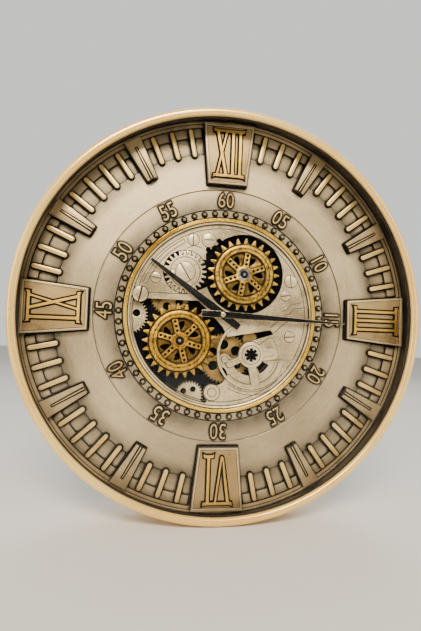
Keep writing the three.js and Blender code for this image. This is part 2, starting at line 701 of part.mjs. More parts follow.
// Back panel with cut-outs for the movement, the battery box and the switch, and the hanger
function makeBackPanel() {
  const panel = toSolid(turned([
    [0, PANEL_BACK], [BORE - GAP, PANEL_BACK], [BORE - GAP, PANEL_FRONT], [0, PANEL_FRONT],
  ]));
  const { x, y, width, height } = BATTERY_BOX;
  const reach = PANEL_FRONT + 1;
  const openings = [
    box(0, 0, MOVEMENT_SIDE + 2, MOVEMENT_SIDE + 2, 0, reach),
    box(x, y - 7, width + 2, height + 16, 0, reach),
    box(DRIVE_ELBOW.x, DRIVE_ELBOW.y + 4, 22, 14, 0, reach),
    box(0, HANGER.y, 16, HANGER.height - 6, 0, reach),
  ];
  place('back_panel', toGeometry(cut(panel, openings)), looks.board());
}

function makeHanger() {
  const { y, width, height } = HANGER;
  const plate = outline([
    [-width / 2, y - height / 2], [width / 2, y - height / 2], [width / 2, y + height / 2],
    [-width / 2, y + height / 2],
  ]);
  const keyhole = new THREE.Shape();
  keyhole.absarc(0, KEYHOLE.entry, KEYHOLE.entryRadius, radians(120), radians(60) + TURN);
  keyhole.absarc(0, KEYHOLE.seat, KEYHOLE.neckRadius, 0, Math.PI);
  plate.holes.push(keyhole);
  place('wall_hanger', slab(plate, 0.6, PANEL_BACK - GAP, 8), looks.steel());
}

function makeBumpers() {
  [210, 330].forEach((degrees, i) => {
    const [x, y] = polar({ x: 0, y: 0 }, 255, degrees);
    place(`bumper_${i + 1}`, post(x, y, 8, 0, PANEL_BACK - GAP, 10), looks.rubber());
  });
}

makeCase();
makeRim();
makeGlass();
makeInnerWall();
makeSpacerBlocks();
makeDialPlate();
makeBatonRows();
makeChapterRing();
makeNumerals();
makeBeadRing();
makeBezel();
makeMovementPlate();
makeBigScrew();
makeBalance();
makeSilverWheel();
makeUnderWheels();
makeTray();
makePillars();
for (const [name, gear] of Object.entries({ upper_gear: UPPER_GEAR, lower_gear: LOWER_GEAR })) {
  makeGearWheel(name, gear);
  makeGearStraps(name, gear);
  makeGearPin(name, gear);
}
makeHands();
makeBush();
makeHandsMovement();
makeDrive();
makeDriveBatteries();
makeBackPanel();
makeHanger();
makeBumpers();

const hung = new THREE.Group();
hung.add(clock);
hung.position.z = -KEYHOLE.seat;

const standing = new THREE.Group();
standing.add(hung);

export default standing;
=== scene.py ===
import json
import math

import bmesh
import bpy
from mathutils import Matrix, Vector

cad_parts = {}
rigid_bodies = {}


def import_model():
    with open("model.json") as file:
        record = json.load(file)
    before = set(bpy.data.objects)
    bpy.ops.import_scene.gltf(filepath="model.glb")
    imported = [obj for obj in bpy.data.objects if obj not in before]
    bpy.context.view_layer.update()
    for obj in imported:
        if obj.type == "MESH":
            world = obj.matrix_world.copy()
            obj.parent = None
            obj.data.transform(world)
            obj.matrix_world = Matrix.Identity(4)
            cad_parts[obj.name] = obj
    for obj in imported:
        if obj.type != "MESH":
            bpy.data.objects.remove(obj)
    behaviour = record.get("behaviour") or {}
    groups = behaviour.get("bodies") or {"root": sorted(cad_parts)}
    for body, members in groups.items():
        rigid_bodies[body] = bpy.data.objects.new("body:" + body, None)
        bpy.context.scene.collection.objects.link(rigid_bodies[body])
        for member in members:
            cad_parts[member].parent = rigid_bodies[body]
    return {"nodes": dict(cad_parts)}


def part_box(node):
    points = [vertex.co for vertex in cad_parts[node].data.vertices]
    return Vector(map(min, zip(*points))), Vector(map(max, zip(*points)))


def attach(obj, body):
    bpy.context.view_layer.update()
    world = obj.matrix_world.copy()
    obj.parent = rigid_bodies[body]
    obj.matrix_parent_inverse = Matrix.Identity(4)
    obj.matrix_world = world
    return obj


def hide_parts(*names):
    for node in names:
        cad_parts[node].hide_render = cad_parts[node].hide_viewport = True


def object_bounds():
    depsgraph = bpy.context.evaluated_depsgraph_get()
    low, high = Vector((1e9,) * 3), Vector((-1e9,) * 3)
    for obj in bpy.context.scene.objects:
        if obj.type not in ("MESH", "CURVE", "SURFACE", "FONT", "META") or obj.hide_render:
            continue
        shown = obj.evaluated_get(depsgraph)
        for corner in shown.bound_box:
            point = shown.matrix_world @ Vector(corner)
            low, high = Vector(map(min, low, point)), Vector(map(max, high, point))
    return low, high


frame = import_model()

cad_box = [list(corner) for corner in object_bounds()]

# Viewpoint and studio
# The clock is seen from a little below its centre and to its left, close enough that the rim fills
# the picture's width. A pale floor, a large soft light high in front, and weaker ones at both sides and
# behind.
VIEWPOINT = Vector((-0.122, -0.706, -0.277))
VIEW_UP = Vector((-0.042, -0.034, 0.999))
VIEW_BACK = Vector((-0.154, -0.987, -0.040)).normalized()
FOCAL_PIXELS = 450
PICTURE_HEIGHT = 631
SENSOR = 36
FLOOR_GAP = 0.0006
FLOOR_REACH = 6


def shade(red, green, blue):
    """Colour read as 0-255 on a screen, as the linear colour that a shader takes."""
    linear = [c / 12.92 if c <= 0.04045 else ((c + 0.055) / 1.055) ** 2.4
              for c in (red / 255, green / 255, blue / 255)]
    return (*linear, 1)


def add_node(tree, kind, inputs=None, **settings):
    """Adds a shader node with its settings, and gives its sockets a link or a value."""
    made = tree.nodes.new(kind)
    for name, value in settings.items():
        setattr(made, name, value)
    for socket, value in (inputs or {}).items():
        if isinstance(value, bpy.types.NodeSocket):
            tree.links.new(value, made.inputs[socket])
        else:
            made.inputs[socket].default_value = value
    return made


def new_material(name):
    """Empty material with its output node."""
    made = bpy.data.materials.new(name)
    made.use_nodes = True
    made.node_tree.nodes.clear()
    return made, made.node_tree, made.node_tree.nodes.new("ShaderNodeOutputMaterial")


def cover(tree, output, sockets):
    """Gives a material a Principled surface whose sockets take the given links and values."""
    surface = add_node(tree, "ShaderNodeBsdfPrincipled", sockets)
    tree.links.new(surface.outputs[0], output.inputs[0])


def blend_colours(tree, amount, first, second):
    """Colour that passes from the first to the second as the amount goes from 0 to 1."""
    return add_node(tree, "ShaderNodeMix", {0: amount, 6: first, 7: second}, data_type="RGBA").outputs[2]


def noise(tree, scale, detail, roughness=0.5, place=None, distortion=0.0):
    """Value of a noise texture, at the given coordinates or at the texture's own."""
    sockets = {"Scale": scale, "Detail": detail, "Roughness": roughness, "Distortion": distortion}
    if place is not None:
        sockets["Vector"] = place
    return add_node(tree, "ShaderNodeTexNoise", sockets).outputs["Fac"]


def mapped(tree, value, low, high, to_low=0.0, to_high=1.0, kind="LINEAR"):
    """Value carried over from one span to another and held at its ends."""
    return add_node(tree, "ShaderNodeMapRange", {
        "Value": value, "From Min": low, "From Max": high, "To Min": to_low, "To Max": to_high},
        interpolation_type=kind).outputs["Result"]


def finished_mesh(shape, name):
    """Mesh made from a bmesh, which is freed."""
    mesh = bpy.data.meshes.new(name)
    shape.to_mesh(mesh)
    shape.free()
    return mesh


def hang_light(name, place, aim, size, watts, colour):
    """Soft rectangular light, turned from its place to its aim."""
    light = bpy.data.lights.new(name, "AREA")
    light.shape = "RECTANGLE"
    light.size, light.size_y = size
    light.energy = watts
    light.color = colour
    lamp = bpy.data.objects.new(name, light)
    lamp.location = place
    lamp.rotation_mode = "QUATERNION"
    lamp.rotation_quaternion = (Vector(aim) - Vector(place)).to_track_quat("-Z", "Y")
    bpy.context.collection.objects.link(lamp)


def stand_camera():
    """Camera at the photograph's viewing angle, its lens fitted to the picture's height."""
    across = VIEW_UP.cross(VIEW_BACK).normalized()
    up = VIEW_BACK.cross(across)
    lens = bpy.data.cameras.new("photo_view")
    lens.sensor_width = SENSOR
    lens.lens = FOCAL_PIXELS / PICTURE_HEIGHT * SENSOR
    camera = bpy.data.objects.new("photo_view", lens)
    turn = Matrix((across, up, VIEW_BACK)).transposed().to_4x4()
    camera.matrix_world = Matrix.Translation(VIEWPOINT) @ turn
    bpy.context.collection.objects.link(camera)
    bpy.context.scene.camera = camera


def lay_floor():
    """Plain pale floor, just under the clock."""
    level = cad_box[0][2] - FLOOR_GAP
    shape = bmesh.new()
    for side_x, side_y in ((-1, -1), (1, -1), (1, 1), (-1, 1)):
        shape.verts.new((side_x * FLOOR_REACH, side_y * FLOOR_REACH, level))
    shape.faces.new(shape.verts)
    mesh = finished_mesh(shape, "floor")
    floor = bpy.data.objects.new("floor", mesh)
    bpy.context.collection.objects.link(floor)
    made, tree, output = new_material("pale_floor")
    tint = blend_colours(tree, noise(tree, 40.0, 4.0), shade(214, 212, 208), shade(222, 220, 216))
    cover(tree, output, {"Base Color": tint, "Roughness": 0.8})
    mesh.materials.append(made)


def light_sky():
    """Soft light all round, brighter behind the clock than in front of it."""
    world = bpy.data.worlds.new("studio")
    world.use_nodes = True
    tree = world.node_tree
    direction = add_node(tree, "ShaderNodeTexCoord").outputs["Generated"]
    depth = add_node(tree, "ShaderNodeSeparateXYZ", {0: direction}).outputs["Y"]
    brightness = mapped(tree, depth, -0.75, 0.6, 0.15, 1.05, "SMOOTHSTEP")
    background = tree.nodes["Background"]
    background.inputs["Color"].default_value = shade(240, 240, 238)
    tree.links.new(brightness, background.inputs["Strength"])
    bpy.context.scene.world = world


stand_camera()
lay_floor()
light_sky()
hang_light("key_light", place=(-0.4, -2.6, 1.85), aim=(0, 0, -0.2), size=(1.6, 0.8), watts=158,
           colour=(1, 0.91, 0.78))
hang_light("side_light", place=(-2.2, -1.6, 0.3), aim=(0, 0, -0.25), size=(1.0, 1.4), watts=30,
           colour=(1, 0.92, 0.8))
hang_light("fill_light", place=(1.7, -1.3, 0.3), aim=(0, 0, -0.25), size=(1.2, 1.6), watts=14,
           colour=(1, 0.96, 0.9))
hang_light("back_light", place=(0.6, 1.8, 1.2), aim=(0, 0, -0.25), size=(1.4, 1.4), watts=22,
           colour=(1, 1, 1))

# Case wall
# The case is a shallow drum of sheet steel, sprayed in satin champagne. Every piece is drawn in
# millimetres as seen from the front: x to the right, y up, and z from the wall to the viewer, with the
# hands' axis in the middle.
MM = 0.001
AXIS_LEVEL = (cad_box[0][2] + cad_box[1][2]) / 2
AXIS = Vector((0, 0, AXIS_LEVEL))
DRAWING_TO_ROOM = Matrix.Translation(AXIS) @ Matrix.Rotation(math.radians(90), 4, "X") @ Matrix.Scale(MM, 4)
ROUND = 240
GAP = 0.3
SHEET = 1.2


def levels(node):
    """Heights above the wall of a CAD node's back and front, in millimetres."""
    low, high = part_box(node)
    return -high.y / MM, -low.y / MM


def turned(profile, segments=ROUND):
    """Ring spun on the hands' axis; the profile's (radius, height) pairs close on themselves."""
    shape = bmesh.new()
    rows = []
    for step in range(segments):
        angle = step * math.tau / segments
        rows.append([shape.verts.new((radius * math.cos(angle), radius * math.sin(angle), height))
                     for radius, height in profile])
    for step, row in enumerate(rows):
        following = rows[(step + 1) % segments]
        for i in range(len(profile)):
            j = (i + 1) % len(profile)
            shape.faces.new((row[i], following[i], following[j], row[j]))
    bmesh.ops.remove_doubles(shape, verts=shape.verts, dist=1e-5)
    bmesh.ops.recalc_face_normals(shape, faces=shape.faces)
    return finished_mesh(shape, "turned")


def flat_ring(inner, outer, back, front):
    """Flat ring on the hands' axis, or a disc when its inner radius is 0."""
    return turned([(inner, back), (outer, back), (outer, front), (inner, front)])


def ease_edges(piece, ease, sharp):
    """Rounds the edges of a piece that are sharper than an angle."""
    edges = piece.modifiers.new("eased_edges", "BEVEL")
    edges.width = ease * MM
    edges.segments = 2
    edges.limit_method = "ANGLE"
    edges.angle_limit = math.radians(sharp)


def as_piece(name, mesh, material, body, node, ease=0.0, sharp=35, stands_for=None):
    """Puts a drawn mesh in its place on the clock, with its node's finish, standing for that node."""
    mesh.transform(DRAWING_TO_ROOM)
    mesh.shade_smooth()
    mesh.set_sharp_from_angle(angle=math.radians(sharp))
    mesh.materials.clear()
    mesh.materials.append(material)
    piece = bpy.data.objects.new(name, mesh)
    bpy.context.collection.objects.link(piece)
    if ease:
        ease_edges(piece, ease, sharp)
    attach(piece, body)
    for hidden in (node,) if stands_for is None else stands_for:
        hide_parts(hidden)
    return piece


def output_sockets(group, **kinds):
    """Adds outputs to a node group, each named after its kind of value."""
    for name, kind in kinds.items():
        group.interface.new_socket(name.replace("_", " "), in_out="OUTPUT", socket_type=f"NodeSocket{kind}")


def input_sockets(group, **values):
    """Adds inputs to a node group with their starting values."""
    for name, value in values.items():
        kind = "Color" if isinstance(value, tuple) else "Float"
        socket = group.interface.new_socket(name.replace("_", " "), in_out="INPUT",
                                            socket_type=f"NodeSocket{kind}")
        socket.default_value = value


def calculate(tree, operation, first, second=0.0, clamp=False):
    """Result of a Math node on two links or values."""
    made = add_node(tree, "ShaderNodeMath", {0: first, 1: second}, operation=operation, use_clamp=clamp)
    return made.outputs[0]


def blend_values(tree, first, share, second, other_share):
    """Sum of two values, each taken by its share."""
    return calculate(tree, "ADD", calculate(tree, "MULTIPLY", first, share),
                     calculate(tree, "MULTIPLY", second, other_share))


def spray_grain_group():
    """Fine grain of sprayed paint: a tone that drifts over the surface and a height for its bump."""
    group = bpy.data.node_groups.new("Spray Grain", "ShaderNodeTree")
    input_sockets(group, Grain_Scale=900.0, Drift_Scale=9.0)
    output_sockets(group, Tone="Float", Height="Float")
    entry = group.nodes.new("NodeGroupInput")
    place = add_node(group, "ShaderNodeTexCoord").outputs["Object"]
    grain = noise(group, entry.outputs["Grain Scale"], 3.0, 0.6, place)
    drift = noise(group, entry.outputs["Drift Scale"], 4.0, 0.55, place)
    tone = mapped(group, blend_values(group, grain, 0.4, drift, 0.6), 0.32, 0.66)
    add_node(group, "NodeGroupOutput", {"Tone": tone, "Height": grain})
    return group


def wash_and_shade_group():
    """Mask that darkens corners and round whatever stands up, found by occlusion: partly the antique
    wash and partly painted shade.
    """
    group = bpy.data.node_groups.new("Wash And Shade", "ShaderNodeTree")
    input_sockets(group, Width=0.0025, Weight=1.0)
    output_sockets(group, Mask="Float")
    entry = group.nodes.new("NodeGroupInput")
    # Occlusion darkens the corners: partly antique wash, partly painted shade.
    corner_wash_and_shade = add_node(group, "ShaderNodeAmbientOcclusion", {"Distance": entry.outputs["Width"]}, samples=8)
    depth = calculate(group, "SUBTRACT", 1.0, corner_wash_and_shade.outputs["AO"])
    place = add_node(group, "ShaderNodeTexCoord").outputs["Object"]
    ragged = noise(group, 160.0, 3.0, place=place)
    uneven = calculate(group, "ADD", calculate(group, "MULTIPLY", ragged, 0.7), 0.65)
    strength = calculate(group, "MULTIPLY", calculate(group, "MULTIPLY", depth, uneven),
                         entry.outputs["Weight"])
    add_node(group, "NodeGroupOutput", {"Mask": mapped(group, strength, 0.1, 0.46, kind="SMOOTHSTEP")})
    return group


spray_grain = spray_grain_group()
wash_and_shade = wash_and_shade_group()


def grain_node(tree, grain_scale, drift_scale):
    """The grain of a paint, placed in its material."""
    return add_node(tree, "ShaderNodeGroup", {"Grain Scale": grain_scale, "Drift Scale": drift_scale},
                    node_tree=spray_grain)


def wash_and_shade_node(tree, width, weight):
    """Mask of the antique wash and painted shade that a material holds in its corners."""
    return add_node(tree, "ShaderNodeGroup", {"Width": width, "Weight": weight},
                    node_tree=wash_and_shade).outputs["Mask"]


def fine_relief(tree, strength, height, depth=0.0002):
    """Normal of a surface with a fine relief, its depth in metres."""
    return add_node(tree, "ShaderNodeBump", {"Strength": strength, "Distance": depth,
                                             "Height": height}).outputs["Normal"]


def tone_to(tree, tone, start, spread):
    """A tone from 0 to 1 turned into a value that starts at one level and spreads above it."""
    return calculate(tree, "ADD", start, calculate(tree, "MULTIPLY", tone, spread))


def champagne_spray():
    """Satin champagne paint with a warm drift in its tone and an orange-peel surface."""
    made, tree, output = new_material("champagne_spray")
    grain = grain_node(tree, 1400.0, 7.0)
    rough = mapped(tree, grain.outputs["Tone"], 0.0, 1.0, 0.22, 0.34)
    cover(tree, output, {
        "Base Color": blend_colours(tree, grain.outputs["Tone"], shade(238, 186, 92), shade(255, 218, 126)),
        "Metallic": 0.35, "Roughness": rough, "Coat Weight": 0.4, "Coat Roughness": 0.15,
        "Normal": fine_relief(tree, 0.12, grain.outputs["Height"])})
    return made


case_paint = champagne_spray()
side_back, side_front = levels("case_wall")
side_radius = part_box("case_wall")[1].x / MM
case_side = flat_ring(side_radius - SHEET, side_radius, side_back, side_front)
as_piece("case_side", case_side, case_paint, "body", "case_wall", ease=0.3)

# Front rim and gasket
# The rim is a rounded moulding pressed over the wall's front edge, in the same champagne paint. A thin
# black gasket between its inner edge and the glass keeps the dust out.
rim_back, rim_front = levels("front_rim")
rim_radius = cad_box[1][0] / MM
RIM_CREST = 292.7
RIM_LIP = 286.8
OUTER_DROP = 11
INNER_DROP = 5.5
GLASS_BED = 1.6
GASKET_LIP = 285.7
ROLL_FULLNESS = 2.5


def rolled_edge(crest, crest_height, edge, edge_height, steps=14):
    """Points of a quarter of a full, rounded roll from its crest down to its edge."""
    points = []
    for step in range(steps + 1):
        angle = step / steps * math.pi / 2
        out = math.sin(angle) ** (2 / ROLL_FULLNESS)
        down = 1 - math.cos(angle) ** (2 / ROLL_FULLNESS)
        points.append((crest + (edge - crest) * out, crest_height + (edge_height - crest_height) * down))
    return points


glass_back, glass_front = levels("glass_pane")
rim_seat = glass_front + GLASS_BED
outer_roll = rolled_edge(RIM_CREST, rim_front, rim_radius, rim_front - OUTER_DROP)
inner_roll = rolled_edge(RIM_CREST, rim_front, RIM_LIP, rim_front - INNER_DROP)
as_piece("rolled_rim", turned(
    [(side_radius - SHEET, rim_back), (rim_radius, rim_back), *reversed(outer_roll), *inner_roll[1:],
     (RIM_LIP, rim_seat), (side_radius - SHEET, rim_seat)]), case_paint, "body", "front_rim")


def grained_finish(name, dull, bright, grain_scale, drift_scale, rough, rough_spread, relief, metal=0.0,
                   gloss=0.5, depth=0.0002):
    """Finish whose grain gives its tone, its roughness and its relief."""
    made, tree, output = new_material(name)
    grain = grain_node(tree, grain_scale, drift_scale)
    cover(tree, output, {
        "Base Color": blend_colours(tree, grain.outputs["Tone"], dull, bright), "Metallic": metal,
        "Roughness": tone_to(tree, grain.outputs["Tone"], rough, rough_spread), "Specular IOR Level": gloss,
        "Normal": fine_relief(tree, relief, grain.outputs["Height"], depth)})
    return made


rubber = grained_finish("gasket_rubber", shade(22, 20, 18), shade(44, 40, 35), 2200.0, 30.0, rough=0.7,
                        rough_spread=0.0, relief=0.2)


def loose_piece(name, mesh, material, body, node, ease=0.0, sharp=35):
    """Puts trim on the clock that has no CAD node of its own; it hides no node."""
    return as_piece(name, mesh, material, body, node, ease, sharp, stands_for=())


loose_piece("glass_gasket", turned([
    (GASKET_LIP, glass_front + GAP), (RIM_LIP - 0.1, glass_front + GAP),
    (RIM_LIP - 0.1, rim_front - INNER_DROP), (RIM_LIP - 0.5, rim_front - 4.6),
    (GASKET_LIP, rim_front - 6.2)]), rubber, "body", "front_rim")

# Glass
# One flat pane of clear 3 mm glass, held between the rim and the inner wall. It is clean, with a faint
# green body that only its edge shows.
GLASS_TINT = (0.97, 0.985, 0.98, 1)


def clear_glass():
    """Clear glass that lets the studio's light through to the dial."""
    made, tree, output = new_material("clear_glass")
    surface = add_node(tree, "ShaderNodeBsdfPrincipled", {
        "Base Color": GLASS_TINT, "Roughness": 0.02, "IOR": 1.17, "Transmission Weight": 1.0})
    passing = add_node(tree, "ShaderNodeBsdfTransparent", {"Color": GLASS_TINT})
    path = add_node(tree, "ShaderNodeLightPath")
    unseen = calculate(tree, "MAXIMUM", path.outputs["Is Shadow Ray"], path.outputs["Is Diffuse Ray"])
    surface_or_light = add_node(tree, "ShaderNodeMixShader", {
        0: unseen, 1: surface.outputs[0], 2: passing.outputs[0]})
    tree.links.new(surface_or_light.outputs[0], output.inputs[0])
    return made


glass_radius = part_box("glass_pane")[1].x / MM
as_piece("flat_pane", flat_ring(0, glass_radius, glass_back, glass_front), clear_glass(), "body",
         "glass_pane", ease=0.4)

# Inner wall
# A dark bronze reveal between the glass and the dial, slightly tapered, with one shallow bead moulded
# round its middle. It is what shows as the dark band inside the rim.


def facing_mask(tree, low=0.45, high=0.9):
    """How squarely the surface faces the front of the clock, from its own normal."""
    normal = add_node(tree, "ShaderNodeNewGeometry").outputs["Normal"]
    depth = add_node(tree, "ShaderNodeSeparateXYZ", {0: normal}).outputs["Y"]
    forward = calculate(tree, "MULTIPLY", depth, -1.0)
    return mapped(tree, forward, low, high, kind="SMOOTHSTEP")


def antique_paint(name, dull, bright, flank, wash_and_shade_colour, metal=0.35, rough=0.4, drift_scale=14.0,
                  wash_and_shade_width=0.0028, wash_and_shade_weight=1.0, facing=(0.45, 0.9), gloss=0.5):
    """Sprayed paint on cast plastic: bright where it faces front and a flank colour down the sides, which in
    the dark finishes is partly antique wash and partly painted shade, and a dark corner wash that is
    partly painted shade."""
    made, tree, output = new_material(name)
    grain = grain_node(tree, 1100.0, drift_scale)
    corner_wash_and_shade = wash_and_shade_node(tree, wash_and_shade_width, wash_and_shade_weight)
    face = blend_colours(tree, grain.outputs["Tone"], dull, bright)
    # Down the sides the flank colour takes over: in the dark finishes partly antique wash, partly painted
    # shade.
    body = blend_colours(tree, facing_mask(tree, *facing), flank, face)
    dry = calculate(tree, "MULTIPLY", corner_wash_and_shade, 0.3)
    uneven = calculate(tree, "MULTIPLY", calculate(tree, "SUBTRACT", grain.outputs["Tone"], 0.5), 0.25)
    roughness = calculate(tree, "ADD", calculate(tree, "ADD", dry, uneven), rough, clamp=True)
    cover(tree, output, {
        "Base Color": blend_colours(tree, corner_wash_and_shade, body, wash_and_shade_colour), "Metallic": metal, "Roughness": roughness,
        "Specular IOR Level": gloss, "Normal": fine_relief(tree, 0.15, grain.outputs["Height"])})
    return made


reveal_bronze = antique_paint("reveal_bronze", shade(40, 32, 22), shade(68, 55, 40), shade(46, 37, 27),
                              shade(20, 17, 14), metal=0.4, rough=0.35)
reveal_back, reveal_front = levels("inner_wall_ring")
reveal_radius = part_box("inner_wall_ring")[1].x / MM
REVEAL_FOOT = 296
REVEAL_HEAD = 294.4
BEAD_HEIGHT = 53
as_piece("dark_reveal", turned([
    (reveal_radius, reveal_back), (reveal_radius, reveal_front), (REVEAL_HEAD, reveal_front),
    (REVEAL_HEAD + 0.7, BEAD_HEIGHT + 1.6), (REVEAL_HEAD - 0.1, BEAD_HEIGHT + 0.9),
    (REVEAL_HEAD - 0.1, BEAD_HEIGHT - 0.9), (REVEAL_HEAD + 0.9, BEAD_HEIGHT - 1.6),
    (REVEAL_FOOT, reveal_back)]), reveal_bronze, "body", "inner_wall_ring", ease=0.25)

# Dial plate
# A stamped plate in brushed champagne silver. The field stands a little above the sunken trays outside
# it and the minute track inside it. It is darkened toward the trays and toward the bead ring, partly by
# antique airbrushing and partly as painted shade, and its sides are painted shade.
SUNK = 33
FIELD = 36
TRACK_TOP = 34.5
SUNK_INNER = 244.5
FIELD_INNER = 191
TRACK_INNER = 160.6
OPEN_RADIUS = 134.3
FLANGE_FRONT = 31.7
TRAY_SHADE = 24.0
BEAD_SHADE = 34.0


def axis_distance_group():
    """Distance from an axis in millimetres, and the turn round it from 0 to 1."""
    group = bpy.data.node_groups.new("Distance From Axis", "ShaderNodeTree")
    group.interface.new_socket("Axis", in_out="INPUT", socket_type="NodeSocketVector").default_value = AXIS
    output_sockets(group, Radius="Float", Turn="Float")
    entry = group.nodes.new("NodeGroupInput")
    place = add_node(group, "ShaderNodeTexCoord").outputs["Object"]
    centred = add_node(group, "ShaderNodeVectorMath", {0: place, 1: entry.outputs["Axis"]},
                       operation="SUBTRACT")
    parts = add_node(group, "ShaderNodeSeparateXYZ", {0: centred.outputs["Vector"]})
    flat = add_node(group, "ShaderNodeCombineXYZ", {"X": parts.outputs["X"], "Z": parts.outputs["Z"]})
    length = add_node(group, "ShaderNodeVectorMath", {0: flat.outputs["Vector"]}, operation="LENGTH")
    radius = calculate(group, "DIVIDE", length.outputs["Value"], MM)
    angle = calculate(group, "ARCTAN2", parts.outputs["Z"], parts.outputs["X"])
    turn = calculate(group, "ADD", calculate(group, "DIVIDE", angle, math.tau), 0.5)
    add_node(group, "NodeGroupOutput", {"Radius": radius, "Turn": turn})
    return group


axis_distance = axis_distance_group()


def near_radius(tree, radius, ring, reach):
    """1 at a ring's radius, fading to 0 at a given reach on both sides of it."""
    apart = calculate(tree, "ABSOLUTE", calculate(tree, "SUBTRACT", radius, ring))
    return mapped(tree, apart, 0.0, reach, 1.0, 0.0, "SMOOTHSTEP")


def dial_silver():
    """Champagne silver spray, brushed round the axis, darkened beside the trays and the bead ring partly by
    airbrushing and partly as painted shade.
    """
    made, tree, output = new_material("dial_silver")
    place = add_node(tree, "ShaderNodeGroup", node_tree=axis_distance)
    radius = place.outputs["Radius"]
    grain = grain_node(tree, 1300.0, 5.0)
    brushed = add_node(tree, "ShaderNodeCombineXYZ", {
        "X": calculate(tree, "MULTIPLY", radius, 1.6),
        "Y": calculate(tree, "MULTIPLY", place.outputs["Turn"], 60.0)})
    streak = mapped(tree, noise(tree, 1.0, 4.0, 0.65, brushed.outputs["Vector"]), 0.35, 0.65)
    tone = blend_values(tree, grain.outputs["Tone"], 0.62, streak, 0.38)
    face = blend_colours(tree, tone, shade(132, 110, 78), shade(228, 203, 162))
    patch = mapped(tree, noise(tree, 9.0, 5.0, 0.7), 0.35, 0.68, to_low=0.5)
    # Darkening beside the trays and the bead ring: partly antique airbrushing, partly painted shade.
    beside_trays = calculate(tree, "MULTIPLY", near_radius(tree, radius, SUNK_INNER, TRAY_SHADE), 0.95)
    beside_beads = near_radius(tree, radius, TRACK_INNER, BEAD_SHADE)
    shadow = calculate(tree, "MULTIPLY", calculate(tree, "MAXIMUM", beside_trays, beside_beads), patch)
    shaded = blend_colours(tree, shadow, face, shade(76, 65, 49))
    # Sides that turn away from the front are painted shade.
    side = blend_colours(tree, facing_mask(tree), shade(40, 34, 27), shaded)
    cover(tree, output, {
        "Base Color": blend_colours(tree, wash_and_shade_node(tree, 0.0055, 1.5), side, shade(30, 25, 19)),
        "Metallic": 0.6, "Roughness": tone_to(tree, tone, 0.26, 0.3), "Normal": fine_relief(tree, 0.1, tone)})
    return made


dial_paint = dial_silver()
dial_back = levels("dial_plate")[0]
dial_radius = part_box("dial_plate")[1].x / MM
as_piece("stamped_dial", turned([
    (OPEN_RADIUS, dial_back), (dial_radius, dial_back), (dial_radius, SUNK), (SUNK_INNER, SUNK),
    (SUNK_INNER, FIELD), (FIELD_INNER, FIELD), (FIELD_INNER, TRACK_TOP), (TRACK_INNER, TRACK_TOP),
    (TRACK_INNER, FLANGE_FRONT), (OPEN_RADIUS, FLANGE_FRONT)]), dial_paint, "body", "dial_plate", ease=0.4)

# Border, wedges and hour plates
# One moulding, painted like old bronze, forms the border with eight wedges and four hour plates between
# the trays of the batons. Each plate has a fine silvered frame and each wedge a slim slot with a thin
# silvered core, the slot's black painted shade; the black round every marker's foot is partly antique
# wash and partly painted shadow.
LEDGE_INNER = 286.3
BORDER_INNER = 291.5
LEDGE_TOP = 37.6
BORDER_TOP = 39
MARKER_BACK = 36.9
WEDGE_EDGE = 225.5
WEDGE_HALF = 7.7
WEDGE_HEAD_HALF = 12.8
PLATE_EDGE = 196.5
PLATE_HALF = 29.5
PLATE_HEAD_HALF = 38.8
MARKER_HEAD = 289
SHOULDER_HEAD = 288
MARKER_TOP = levels("chapter_ring")[1]
WEDGE_TOP = MARKER_TOP - 1.2
FILLET = 5.0


def draw_path(curve, points, closed=True):
    """Adds a path of (x, y, z) points to a curve."""
    spline = curve.splines.new("POLY")
    spline.points.add(len(points) - 1)
    for point, spot in zip(spline.points, points):
        point.co = (*spot, 1)
    spline.use_cyclic_u = closed


def meshed(curve):
    """Mesh of a curve or a text, with the curve cleared away."""
    holder = bpy.data.objects.new("drawn", curve)
    mesh = bpy.data.meshes.new_from_object(holder)
    bpy.data.objects.remove(holder)
    bpy.data.curves.remove(curve)
    return mesh


def sheet(loops, back, front, ease=0.4, swell=0.0):
    """Flat part with eased edges from its outer loop and any holes, each a list of (x, y)."""
    curve = bpy.data.curves.new("sheet", "CURVE")
    curve.dimensions = "2D"
    curve.fill_mode = "BOTH"
    curve.extrude = (front - back) / 2 - ease
    curve.bevel_depth = ease
    curve.bevel_resolution = 1
    curve.offset = swell - ease
    for loop in loops:
        draw_path(curve, [(x, y, 0) for x, y in loop])
    mesh = meshed(curve)
    shape = bmesh.new()
    shape.from_mesh(mesh)
    bmesh.ops.remove_doubles(shape, verts=shape.verts, dist=1e-4)
    bmesh.ops.translate(shape, verts=shape.verts, vec=(0, 0, (back + front) / 2))
    bmesh.ops.recalc_face_normals(shape, faces=shape.faces)
    shape.to_mesh(mesh)
    shape.free()
    return mesh


def gathered(meshes):
    """One mesh from several that are fixed together."""
    shape = bmesh.new()
    for mesh in meshes:
        shape.from_mesh(mesh)
        bpy.data.meshes.remove(mesh)
    return finished_mesh(shape, "gathered")


def to_hour(mesh, clockwise):
    """Turns a mesh drawn with its outer end up to its place on the dial."""
    mesh.transform(Matrix.Rotation(-math.radians(clockwise), 4, "Z"))
    return mesh


def spot_at(radius, degrees, centre=(0, 0)):
    """Point at a distance from a centre, its direction in degrees anticlockwise from +x."""
    angle = math.radians(degrees)
    return centre[0] + radius * math.cos(angle), centre[1] + radius * math.sin(angle)


def arc(x, y, radius, start, end, steps=12):
    """Points round a centre from one angle to another."""
    return [spot_at(radius, start + (end - start) * i / steps, (x, y)) for i in range(steps + 1)]


def ring_loop(x, y, radius, steps=96):
    """Circle as a loop."""
    return arc(x, y, radius, 0, 360, steps)[:-1]


def tapered(foot_half, foot, head_half, head):
    """Four-sided loop that points away from the axis, given half its width at the foot and at the head."""
    return [(-foot_half, foot), (foot_half, foot), (head_half, head), (-head_half, head)]


